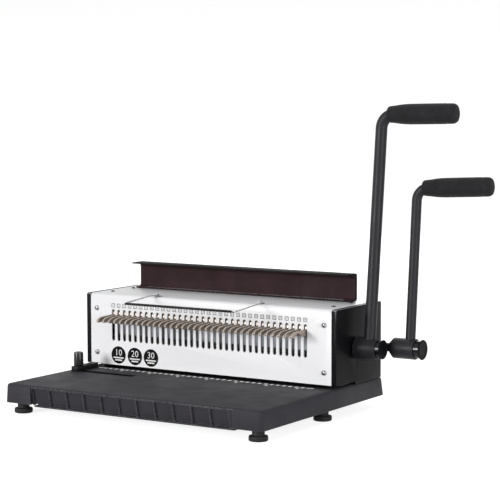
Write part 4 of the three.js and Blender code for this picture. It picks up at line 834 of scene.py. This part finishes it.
# Guide slot shade. A matt black lip round the edge of the slot that the guide's stud runs in, a dark sheet
# put there as painted shade for the inside of the slot.
# Its thin flange lies on the tray, and its inner wall reaches down through the tray's top.
slot_shade_black, tree, shader = finish("slot shade black", (0.005, 0.005, 0.005), roughness=0.85, mirror=0.02)
coated(tree, shader, drift=0.3, cells=0.1, edge_colour=(0.03, 0.03, 0.03), edge_amount=0.3, reach=0.3, dust=0.0)
uneven(tree, shader, 0.75, 0.9, 0.1)
slot_half = 2.8
slot_travel = 80
shade_liner = bmesh.new()
for outer, inner, top, bottom in ((2.4, -0.18, 0.05, -0.08), (-0.02, -0.2, 0.04, -2.0)):
    sheet = bmesh.ops.create_grid(shade_liner, x_segments=1, y_segments=1, size=0.5)["verts"]
    opening = sheet[0].link_faces[0]
    wide = 2 * (slot_half + outer)
    bmesh.ops.scale(shade_liner, verts=sheet, vec=((slot_travel + wide) * mm, wide * mm, 1))
    bmesh.ops.translate(shade_liner, verts=sheet, vec=(knob_middle.x + slot_travel / 2 * mm, knob_middle.y,
                                                 tray_top + top * mm))
    ring = bmesh.ops.inset_region(shade_liner, faces=[opening], thickness=(outer - inner) * mm,
                                  use_boundary=True, use_even_offset=True)["faces"]
    bmesh.ops.delete(shade_liner, geom=[opening], context="FACES_ONLY")
    pressed = bmesh.ops.extrude_face_region(shade_liner, geom=ring)
    moved = [g for g in pressed["geom"] if isinstance(g, bmesh.types.BMVert)]
    bmesh.ops.translate(shade_liner, verts=moved, vec=(0, 0, (bottom - top) * mm))
bmesh.ops.recalc_face_normals(shade_liner, faces=shade_liner.faces)
new_piece("guide_slot_shade", shade_liner, "machine", [slot_shade_black], angle=30)

# Floor and backdrop. One pale sheet that runs back from under the machine and curves up behind it.
# It is the studio's, not the machine's.
sweep = bmesh.new()
sheet_line = [Vector((-9, -6, 0)), Vector((-9, 5, 0)), Vector((-9, 7, 0.35)), Vector((-9, 8.4, 1.6)),
              Vector((-9, 9, 3.5)), Vector((-9, 9, 9))]
line_verts = [sweep.verts.new(p) for p in sheet_line]
line_edges = [sweep.edges.new(pair) for pair in zip(line_verts, line_verts[1:])]
drawn = bmesh.ops.extrude_edge_only(sweep, edges=line_edges)
moved = [g for g in drawn["geom"] if isinstance(g, bmesh.types.BMVert)]
bmesh.ops.translate(sweep, verts=moved, vec=(18, 0, 0))
bmesh.ops.recalc_face_normals(sweep, faces=sweep.faces)
for face in sweep.faces:
    face.smooth = True
    if face.normal.z < -0.5:
        face.normal_flip()
floor_mesh = bpy.data.meshes.new("studio_sheet")
sweep.to_mesh(floor_mesh)
sweep.free()
floor = bpy.data.objects.new("studio_sheet", floor_mesh)
scene.collection.objects.link(floor)
floor_paper, tree, shader = finish("studio paper", (0.6, 0.6, 0.6), roughness=0.9, mirror=0.0)
glow = tree.nodes.new("ShaderNodeEmission")
glow.inputs["Strength"].default_value = 1.0
path = tree.nodes.new("ShaderNodeLightPath")
seen = calc(tree, "MAXIMUM", path.outputs["Is Camera Ray"], path.outputs["Is Glossy Ray"])
tree.links.new(calc(tree, "MULTIPLY", seen, 0.83), glow.inputs["Color"])
blend = tree.nodes.new("ShaderNodeAddShader")
tree.links.new(shader.outputs[0], blend.inputs[0])
tree.links.new(glow.outputs[0], blend.inputs[1])
tree.links.new(blend.outputs[0], tree.nodes["Material Output"].inputs["Surface"])
floor_mesh.materials.append(floor_paper)

# Studio light. A large soft lamp stands in front and to the left, with smaller ones to the right, above and
# behind. The room around them is pale.
world = bpy.data.worlds.new("studio")
world.use_nodes = True
scene.world = world
tree = world.node_tree
room = tree.nodes["Background"]
room.inputs["Color"].default_value = (1, 1, 1, 1)
path = tree.nodes.new("ShaderNodeLightPath")
bright = calc(tree, "MAXIMUM", path.outputs["Is Camera Ray"],
              calc(tree, "MAXIMUM", path.outputs["Is Glossy Ray"], path.outputs["Is Transmission Ray"]))
level = calc(tree, "ADD", calc(tree, "MULTIPLY", bright, 0.62), 0.38)
tree.links.new(level, room.inputs["Strength"])


def lamp(name, place, target, width, height, watts):
    """A soft rectangular lamp at a place, in metres, turned to its target."""
    light = bpy.data.lights.new(name, "AREA")
    light.shape = "RECTANGLE"
    light.size = width
    light.size_y = height
    light.energy = watts
    holder = bpy.data.objects.new(name, light)
    scene.collection.objects.link(holder)
    holder.location = place
    holder.rotation_euler = (Vector(target) - Vector(place)).to_track_quat("-Z", "Y").to_euler()


lamp("front_lamp", (-1.6, -4.2, 1.1), (0, 0, 0.08), 1.3, 1.1, 133)
lamp("right_lamp", (2.6, -0.9, 0.6), (0.1, 0, 0.12), 1.0, 1.2, 29)
lamp("top_lamp", (0.4, 0.6, 2.4), (0, 0, 0.1), 1.6, 1.2, 3)
lamp("back_lamp", (-0.9, 2.6, 0.9), (0, 0, 0.08), 1.4, 1.0, 14)

# Camera. A long lens in front of the machine and to its right, a little above its top.
camera_data = bpy.data.cameras.new("camera")
camera_data.sensor_width = 36
camera_data.lens = 122.7046
camera_data.clip_end = 50
camera = bpy.data.objects.new("camera", camera_data)
scene.collection.objects.link(camera)
camera_place = at(1138.9, -1709.0, 367.5)
azimuth = math.radians(32.18)
pitch_down = math.radians(4.90)
roll = math.radians(-0.11)
ahead = Vector((-math.sin(azimuth) * math.cos(pitch_down), math.cos(azimuth) * math.cos(pitch_down),
                -math.sin(pitch_down)))
level_right = ahead.cross(Vector((0, 0, 1))).normalized()
level_up = level_right.cross(ahead)
camera_right = level_right * math.cos(roll) + level_up * math.sin(roll)
camera_up = level_up * math.cos(roll) - level_right * math.sin(roll)
turn = Matrix((camera_right, camera_up, -ahead)).transposed().to_4x4()
camera.matrix_world = Matrix.Translation(camera_place) @ turn
scene.camera = camera
scene.view_settings.view_transform = "Standard"
